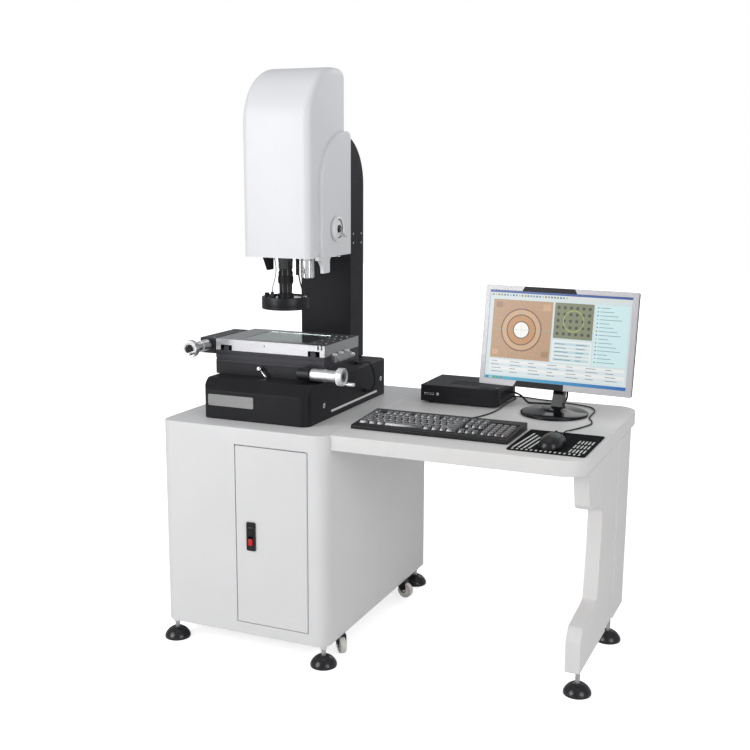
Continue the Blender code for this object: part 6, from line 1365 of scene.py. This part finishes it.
def screen_picture():
    """Plain measuring program: picture, drawing, lists and bars without any lettering."""
    mesh = bmesh.new()
    tint = mesh.loops.layers.float_color.new("Tint")
    mottle = mesh.loops.layers.float_color.new("Mottle")

    def face(points, depth, colour, grain=0.0):
        made = mesh.faces.new([mesh.verts.new((u, depth, v)) for u, v in points])
        for loop in made.loops:
            loop[tint] = (*colour, 1)
            loop[mottle] = (grain, grain, grain, 1)

    def field(left, right, low, high, colour, layer=1, grain=0.0):
        face([(left, low), (right, low), (right, high), (left, high)], 0.0015 - 0.00004 * layer,
             colour, grain)

    def ring(x, z, inner, outer, colour, layer, grain=0.0):
        for n in range(48):
            a, b = (2 * math.pi * k / 48 for k in (n, n + 1))
            points = [(x + r * math.cos(t), z + r * math.sin(t))
                      for r, t in ((inner, a), (outer, a), (outer, b), (inner, b))]
            face(points if inner else points[1:3] + [(x, z)], 0.0015 - 0.00004 * layer, colour, grain)

    left, right, low, high = SCREEN
    field(left, right, low, high, (0.62, 0.72, 0.74), 0)
    field(left, right, high - 0.0065, high, (0.03, 0.09, 0.32))
    field(left, right, high - 0.0190, high - 0.0065, (0.66, 0.70, 0.68))
    swatches = ((0.05, 0.30, 0.30), (0.30, 0.16, 0.06), (0.05, 0.12, 0.45), (0.45, 0.45, 0.43),
                (0.10, 0.32, 0.10))
    for n in range(26):
        x = left + 0.006 + 0.0092 * n
        field(x, x + 0.0055, high - 0.0157, high - 0.0102, swatches[(n * 3 + n // 7) % 5], 2)
    tan = (0.47, 0.29, 0.17)
    field(-0.205, -0.018, -0.067, 0.108, tan, 1, 1.0)
    for x, z, half, tone in ((-0.186, 0.092, 0.010, 0.7), (-0.036, 0.090, 0.012, 1.25),
                             (-0.190, -0.050, 0.009, 1.3), (-0.034, -0.048, 0.011, 0.75)):
        field(x - half, x + half, z - 0.8 * half, z + 0.8 * half, tuple(c * tone for c in tan), 2, 1.0)
    for inner, outer, colour in ((0.060, 0.064, (0.20, 0.10, 0.06)), (0.046, 0.060, (0.58, 0.37, 0.21)),
                                 (0.043, 0.046, (0.10, 0.05, 0.04)), (0.026, 0.043, (0.52, 0.25, 0.10)),
                                 (0.023, 0.026, (0.08, 0.04, 0.03)), (0.0, 0.023, (0.90, 0.88, 0.82))):
        ring(-0.112, 0.020, inner, outer, colour, 3, 0.5)
    field(-0.205, -0.018, 0.0197, 0.0203, (0.05, 0.50, 0.60), 4)
    field(-0.1123, -0.1117, -0.067, 0.108, (0.05, 0.50, 0.60), 4)
    field(-0.012, 0.106, 0.004, 0.108, (0.20, 0.22, 0.13), 1, 0.3)
    for row in range(5):
        for column in range(6):
            ring(0.000 + 0.0188 * column, 0.018 + 0.0190 * row, 0.0, 0.0048, (0.05, 0.06, 0.04), 2)
    ring(0.047, 0.056, 0.030, 0.0315, (0.55, 0.62, 0.10), 3)
    field(0.112, 0.210, -0.067, 0.108, (0.60, 0.80, 0.82))
    for n in range(15):
        z = 0.1000 - 0.0112 * n
        field(0.116, 0.120, z - 0.002, z + 0.002, swatches[n % 5], 2)
        field(0.124, 0.124 + 0.030 + 0.012 * ((n * 5) % 4), z - 0.0009, z + 0.0009, (0.22, 0.28, 0.32), 2)
    field(-0.012, 0.106, -0.067, -0.002, (0.78, 0.82, 0.80))
    for n in range(5):
        z = -0.012 - 0.0115 * n
        field(-0.008, 0.102, z - 0.0040, z + 0.0040, (0.62, 0.72, 0.74) if n % 2 else (0.50, 0.66, 0.70), 2)
        field(-0.004, 0.026 + 0.005 * n, z - 0.0009, z + 0.0009, (0.10, 0.16, 0.24), 3)
        field(0.060, 0.092 - 0.004 * n, z - 0.0009, z + 0.0009, (0.10, 0.16, 0.24), 3)
    field(-0.205, 0.210, -0.1150, -0.0720, (0.74, 0.78, 0.78))
    for n in range(4):
        z = -0.0770 - 0.0104 * n
        field(-0.203, 0.208, z - 0.0044, z + 0.0044, (0.66, 0.74, 0.77) if n % 2 else (0.80, 0.82, 0.80), 2)
        for column in range(7):
            x = -0.198 + 0.0585 * column
            field(x, x + 0.018 + 0.006 * ((n + 2 * column) % 4), z - 0.0009, z + 0.0009,
                  (0.16, 0.20, 0.26), 3)
    for n in range(16):
        share = n / 15
        colour = (0.05 * (1 - share) + 0.02, 0.42 - 0.28 * share, 0.55 - 0.10 * share)
        x = left + (right - left) / 16 * n
        field(x, x + (right - left) / 16, low, low + 0.0095, colour)
    for n in range(5):
        field(left + 0.004 + 0.011 * n, left + 0.012 + 0.011 * n, low + 0.002, low + 0.0075,
              swatches[(n + 2) % 5], 2)
    return mesh


def monitor():
    """Flat monitor: silver bezel, dark accents, lit screen, black back, hinge, neck and round foot."""
    half_w, half_h = PANEL_HALF_W, PANEL_HALF_H
    left, right, low, high = SCREEN
    face = prism(rectangle(-half_w, half_w, -half_h, half_h, 0.0045, 8), "Y", 0.0, 0.0085)
    opening = prism(rectangle(*SCREEN), "Y", -0.002, 0.012)
    piece("monitor_bezel", worked(face, cuts=[opening]), SILVER_PAINT, "monitor_panel", edge=0.0012,
          frame_of=PANEL)
    shell = prism(rectangle(-half_w + 0.0006, half_w - 0.0006, -half_h + 0.0006, half_h - 0.0006, 0.0040, 8),
                  "Y", 0.0087, 0.018)
    rings = [(0.0175, 0.150, 0.100), (0.020, 0.1495, 0.0995), (0.024, 0.146, 0.096), (0.0345, 0.1325, 0.0825),
             (0.0355, 0.1310, 0.0810), (0.036, 0.1290, 0.0790)]
    bulge = loft([[(u, y, v) for u, v in rectangle(-a, a, -b, b, 0.010, 8)] for y, a, b in rings])
    vents = grown(ROW, DARK_PARTS_AND_SHADE, Count=30, Step=(0.0075, 0, 0), Block=(0.0030, 0.010, 0.012))
    vents.transform(Matrix.Translation((-0.109, 0.036, 0.062)))
    back = worked(worked(shell, joins=[bulge]), cuts=[vents])
    piece("monitor_back", back, MOULDED_BLACK, "monitor_panel", "monitor_panel", edge=0.0009, frame_of=PANEL)
    base = prism(rectangle(left - 0.0002, right + 0.0002, low - 0.0002, high + 0.0002), "Y", 0.0016, 0.0086)
    piece("screen_body", base, DARK_PARTS_AND_SHADE, "monitor_panel", frame_of=PANEL)
    piece("screen_picture", screen_picture(), screen_look(), "monitor_panel", frame_of=PANEL, smooth=10)
    over = prism([(-0.117, 0.1348), (0.052, 0.1348), (0.044, 0.1492), (-0.110, 0.1492)], "Y", -0.0009, 0.004)
    under = prism([(-0.124, -0.1492), (0.032, -0.1492), (0.032, -0.1314), (-0.113, -0.1314)], "Y",
                  -0.0009, 0.004)
    piece("bezel_accents", gathered(over, under), MOULDED_BLACK, "monitor_panel", edge=0.0005, frame_of=PANEL)
    buttons = [rod(0.0022, (x, 0.0004, -0.1402), (x, -0.0008, -0.1402), 24, 0.0004)
               for x in (0.150 + 0.012 * n for n in range(4))]
    piece("monitor_keys", gathered(*buttons), SILVER_PAINT, "monitor_panel", frame_of=PANEL)
    ears = []
    side = rounded([(PIVOT_BACK - 0.030, PIVOT_Z - 0.011, 0), (PIVOT_BACK + 0.010, PIVOT_Z - 0.010, 0.0098),
                    (PIVOT_BACK + 0.010, PIVOT_Z + 0.010, 0.0098),
                    (PIVOT_BACK - 0.030, PIVOT_Z + 0.014, 0)], 8)
    for sign in (-1, 1):
        near, far = sorted((sign * 0.017, sign * 0.023))
        ears.append(prism(side, "X", near, far))
        ears.append(rod(0.0052, (sign * 0.0225, PIVOT_BACK, PIVOT_Z),
                        (sign * 0.0245, PIVOT_BACK, PIVOT_Z), 28, 0.0006))
        ears.append(rod(0.0040, (sign * 0.0030, PIVOT_BACK, PIVOT_Z),
                        (sign * 0.0225, PIVOT_BACK, PIVOT_Z), 24))
    piece("monitor_ears", gathered(*ears), MOULDED_BLACK, "monitor_panel", edge=0.0007, frame_of=MONITOR)

    disc = [(0, 0), (0.0965, 0), (0.0985, 0.0010), (0.0990, 0.0025), (0.0990, 0.0050), (0.0982, 0.0066),
            (0.0955, 0.0080), (0.0900, 0.0094), (0.0780, 0.0112), (0.0600, 0.0134), (0.0420, 0.0160),
            (0.0380, 0.0176), (0.0355, 0.0188), (0, 0.0190)]
    piece("monitor_foot", turned(disc, 112), GLOSS_BLACK, replaces="monitor_stand",
          frame_of=MONITOR, smooth=40)
    rear, near = PIVOT_BACK + 0.010, PIVOT_BACK - 0.010
    side = rounded([(0.014, 0.012, 0), (0.044, 0.012, 0), (rear, 0.080, 0.030), (rear, PIVOT_Z, 0),
                    (near, PIVOT_Z, 0), (near, 0.075, 0.030)], 10)
    neck = prism(side, "X", -0.0165, 0.0165)
    head = rod(0.010, (-0.016, PIVOT_BACK, PIVOT_Z), (0.016, PIVOT_BACK, PIVOT_Z), 48)
    bore = rod(0.0043, (-0.020, PIVOT_BACK, PIVOT_Z), (0.020, PIVOT_BACK, PIVOT_Z), 24)
    piece("monitor_neck", worked(worked(neck, joins=[head]), cuts=[bore]), GLOSS_BLACK, edge=0.0048,
          corner=50, segments=6, frame_of=MONITOR)


def smooth_route(points, step):
    """Evenly spaced points of a smooth curve through a route's own points."""
    ends = [Vector(points[0]) * 2 - Vector(points[1]), Vector(points[-1]) * 2 - Vector(points[-2])]
    route = [ends[0]] + [Vector(point) for point in points] + [ends[1]]
    fine = []
    for a, b, c, d in zip(route, route[1:], route[2:], route[3:]):
        for part in range(24):
            t = part / 24
            fine.append(0.5 * (2 * b + (c - a) * t + (2 * a - 5 * b + 4 * c - d) * t ** 2
                               + (3 * b - a - 3 * c + d) * t ** 3))
    fine.append(route[-2])
    lengths = [0.0]
    for near, far in zip(fine, fine[1:]):
        lengths.append(lengths[-1] + (far - near).length)
    count = max(2, round(lengths[-1] / step))
    even, index = [], 0
    for stop in range(count + 1):
        target = lengths[-1] * stop / count
        while index < len(fine) - 2 and lengths[index + 1] < target:
            index += 1
        share = (target - lengths[index]) / (lengths[index + 1] - lengths[index])
        even.append(fine[index].lerp(fine[index + 1], min(1.0, share)))
    return even


def lead(name, route, radius, look, body, nodes):
    """Free cord along a route in the station frame."""
    curve = bpy.data.curves.new(name, "CURVE")
    curve.dimensions = "3D"
    curve.bevel_depth = radius
    curve.bevel_resolution = 6
    curve.use_fill_caps = True
    spline = curve.splines.new("POLY")
    spline.points.add(len(route) - 1)
    for point, place in zip(spline.points, route):
        point.co = (*(place + STATION), 1.0)
    spline.use_smooth = True
    made = bpy.data.objects.new(name, curve)
    bpy.context.scene.collection.objects.link(made)
    curve.materials.append(look)
    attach(made, body)
    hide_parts(*nodes)
    return made


def wound(x, radii, turns, near, away):
    """Points of a neat coil that rests on the desk, wound from its bottom in layers, ending inside it."""
    z = WORKTOP + 2 * GAP + CORD_R + radii[0]
    drop_turn = 0.25
    steps = 36
    points = []
    y = near if away > 0 else near + (turns - drop_turn) * COIL_PITCH
    angle = -math.pi / 2
    for radius, inner in zip(radii, radii[1:]):
        count = round(turns * steps)
        for step in range(count):
            done = step / steps
            change = max(0.0, (done - (turns - drop_turn)) / drop_turn)
            ease = change * change * (3 - 2 * change)
            reach = radius + (inner - radius) * ease
            along = y + away * min(done, turns - drop_turn) * COIL_PITCH
            a = angle - 2 * math.pi * done
            points.append(Vector((x + reach * math.cos(a), along, z + reach * math.sin(a))))
        angle -= 2 * math.pi * turns
        y += away * (turns - drop_turn) * COIL_PITCH
        away = -away
    last = radii[-1]
    for step in range(round(0.75 * steps) + 1):
        done = step / steps
        reach = last + (0.0082 - last) * done / 0.75
        a = angle - 2 * math.pi * done
        points.append(Vector((x + reach * math.cos(a), y, z + reach * math.sin(a))))
    return points


def coil_fittings(name, x, outer, inner):
    """Tie round a coil's turns, and the moulded plug that ends it in the PC's rear."""
    z = WORKTOP + 2 * GAP + CORD_R + outer
    near, far = PC[3] + 0.0001, PC[3] + 0.0136
    low, high = z + inner - CORD_R - 0.0002, z + outer + CORD_R + 0.0002
    band = prism(rectangle(near, far, low - 0.0008, high + 0.0008, 0.0015), "X", x - 0.003, x + 0.003)
    hole = prism(rectangle(near + 0.0002, far - 0.0008, low, high, 0.0010), "X", x - 0.004, x + 0.004)
    tie = piece(name + "_tie", worked(band, cuts=[hole]), RUBBER)
    body = box(x + 0.0042, x + 0.0115, PC[3] + 0.0002, PC[3] + 0.0143, z - 0.0050, z + 0.0030)
    plug = piece(name + "_plug", body, MOULDED_BLACK, edge=0.0012)
    return [tie, plug]


def cords(keyboard_relief, mouse_relief):
    """Every cord along its route in the part's source, only the light wires a little beside theirs."""
    stage_route = [(0.4493, *STAGE_GLAND), (0.4593, *STAGE_GLAND), (0.4670, 0.3880, 0.8000),
                   (0.4680, 0.4130, 0.7970), (0.4680, 0.4410, 0.7760), (0.4690, 0.4560, 0.7450),
                   (0.4680, 0.4570, 0.7180), (0.4563, 0.455, 0.7005), (0.4443, *BASE_GLAND)]
    lead("stage_cable_run", smooth_route(stage_route, 0.004), CABLE_R, RUBBER, "workstation",
         ["stage_cable"])
    under = SHELF_LOW - GAP
    left_route = [(0.2380, 0.2540, under), (0.2390, 0.2540, under - 0.012), (0.2450, 0.2510, 1.0800),
                  (0.2430, 0.2460, 1.0500), (0.2385, 0.2405, 1.0270), (0.238, 0.240, 1.0143)]
    lead("light_wire_grey", smooth_route(left_route, 0.004), 0.0018, GREY_PLASTIC, "head",
         ["light_wire_left"])
    right_route = [(0.3080, 0.2640, under), (0.3080, 0.2640, under - 0.012), (0.3110, 0.2620, 1.0800),
                   (0.3190, 0.2590, 1.0450), (0.3280, 0.2562, 1.0200), (0.329, 0.256, 1.0063)]
    lead("light_wire_black", smooth_route(right_route, 0.004), 0.0021, RUBBER, "head",
         ["light_wire_right"])

    start = MONITOR @ Vector((0, PIVOT_BACK + 0.010 + GAP, 0.092))
    back = MONITOR.to_3x3() @ Vector((0, 1, 0))
    lead_z = WORKTOP + GAP + 0.004
    drops = ((0.015, 0, 0), (0.036, 0.001, 0.014), (0.050, 0.001, 0.042), (0.052, -0.001, 0.066),
             (0.050, -0.014, 0.086))
    route = [start] + [start + back * away + Vector((aside, 0, -down)) for away, aside, down in drops]
    route += [(x, y, lead_z) for x, y in ((0.980, 0.661), (0.950, 0.657), (0.920, 0.653), (0.895, 0.656))]
    route += [(0.873, 0.659, WORKTOP + 0.022), (0.8513, 0.660, WORKTOP + 0.030),
              (0.8353, 0.660, WORKTOP + 0.030)]
    lead("monitor_lead_run", smooth_route(route, 0.005), CABLE_R, RUBBER, "workstation",
         ["monitor_lead"])

    rear = KEYBOARD[2] + KEYBOARD[3] + GAP
    route = [(KEYBOARD_CORD_X, rear, WORKTOP + 0.008), (KEYBOARD_CORD_X, rear + 0.014, WORKTOP + 0.0075),
             (0.7940, 0.3450, CORD_Z), (0.8050, 0.3730, CORD_Z), (0.8230, 0.4110, CORD_Z),
             (0.8380, 0.4700, CORD_Z), (0.8425, 0.5360, CORD_Z), (0.8410, 0.6200, CORD_Z),
             (0.8430, 0.6900, CORD_Z), (0.8425, 0.7080, CORD_Z), (0.8370, 0.7190, CORD_Z),
             (0.8260, 0.7242, CORD_Z), (0.8100, COIL_FRONT, CORD_Z), (0.7960, COIL_FRONT, CORD_Z),
             (0.7901, COIL_FRONT, CORD_Z)]
    coil = wound(KEYBOARD_CORD_X, KEYBOARD_COIL, 7 / 3, COIL_FRONT, 1)
    fittings = coil_fittings("keyboard_coil", KEYBOARD_CORD_X, KEYBOARD_COIL[0], KEYBOARD_COIL[2])
    lead("keyboard_lead", smooth_route(route, 0.006)[:-1] + coil, CORD_R, RUBBER, "workstation",
         ["keyboard_cord", "keyboard_coil"])

    on_pad = CORD_Z + PAD_THICK
    mouse_x, mouse_rear = MOUSE[0], MOUSE[1] + MOUSE[3] / 2
    far_y = COIL_FRONT + 2.25 * COIL_PITCH
    route = [(mouse_x, mouse_rear, on_pad + 0.004), (mouse_x, mouse_rear + 0.014, on_pad + 0.003),
             (1.1035, 0.2450, on_pad), (1.0990, 0.2900, on_pad + 0.0005), (1.1000, 0.3200, on_pad + 0.0005),
             (1.1060, 0.3480, CORD_Z + 0.0005), (1.1230, 0.3900, CORD_Z), (1.1390, 0.4470, CORD_Z),
             (1.1300, 0.4900, CORD_Z), (1.1170, 0.5190, CORD_Z), (1.1130, 0.5700, CORD_Z),
             (1.1090, 0.6250, CORD_Z), (1.0850, 0.6700, CORD_Z), (1.0250, 0.6950, CORD_Z),
             (0.9400, 0.7140, CORD_Z), (0.8700, 0.7330, CORD_Z), (0.8300, 0.7385, CORD_Z),
             (0.7900, 0.7385, CORD_Z), (0.7600, 0.7380, CORD_Z), (0.7400, 0.7355, CORD_Z),
             (0.7200, far_y, CORD_Z), (0.7080, far_y, CORD_Z), (0.7001, far_y, CORD_Z)]
    coil = wound(MOUSE_COIL_X, MOUSE_COIL, 2.5, COIL_FRONT, -1)
    fittings = coil_fittings("mouse_coil", MOUSE_COIL_X, MOUSE_COIL[0], MOUSE_COIL[1])
    lead("mouse_lead", smooth_route(route, 0.006)[:-1] + coil, CORD_R, RUBBER, "workstation",
         ["mouse_cord", "mouse_coil"])


def kept_nodes():
    """Finishes of the CAD nodes that stay: the guide, its slide and the camera."""
    for name, look in (("z_guide", GROUND_STEEL), ("z_carriage", SATIN_BLACK), ("camera", SILVER_PAINT)):
        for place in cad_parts[name].material_slots:
            place.material = look


photo_camera()
studio_world()
pale_floor()
studio_lamps()
cords(keyboard(), mouse_and_pad())
cabinet()
feet()
casters()
desk()
machine_body()
head_covers()
optics()
stage()
small_pc()
monitor()
kept_nodes()
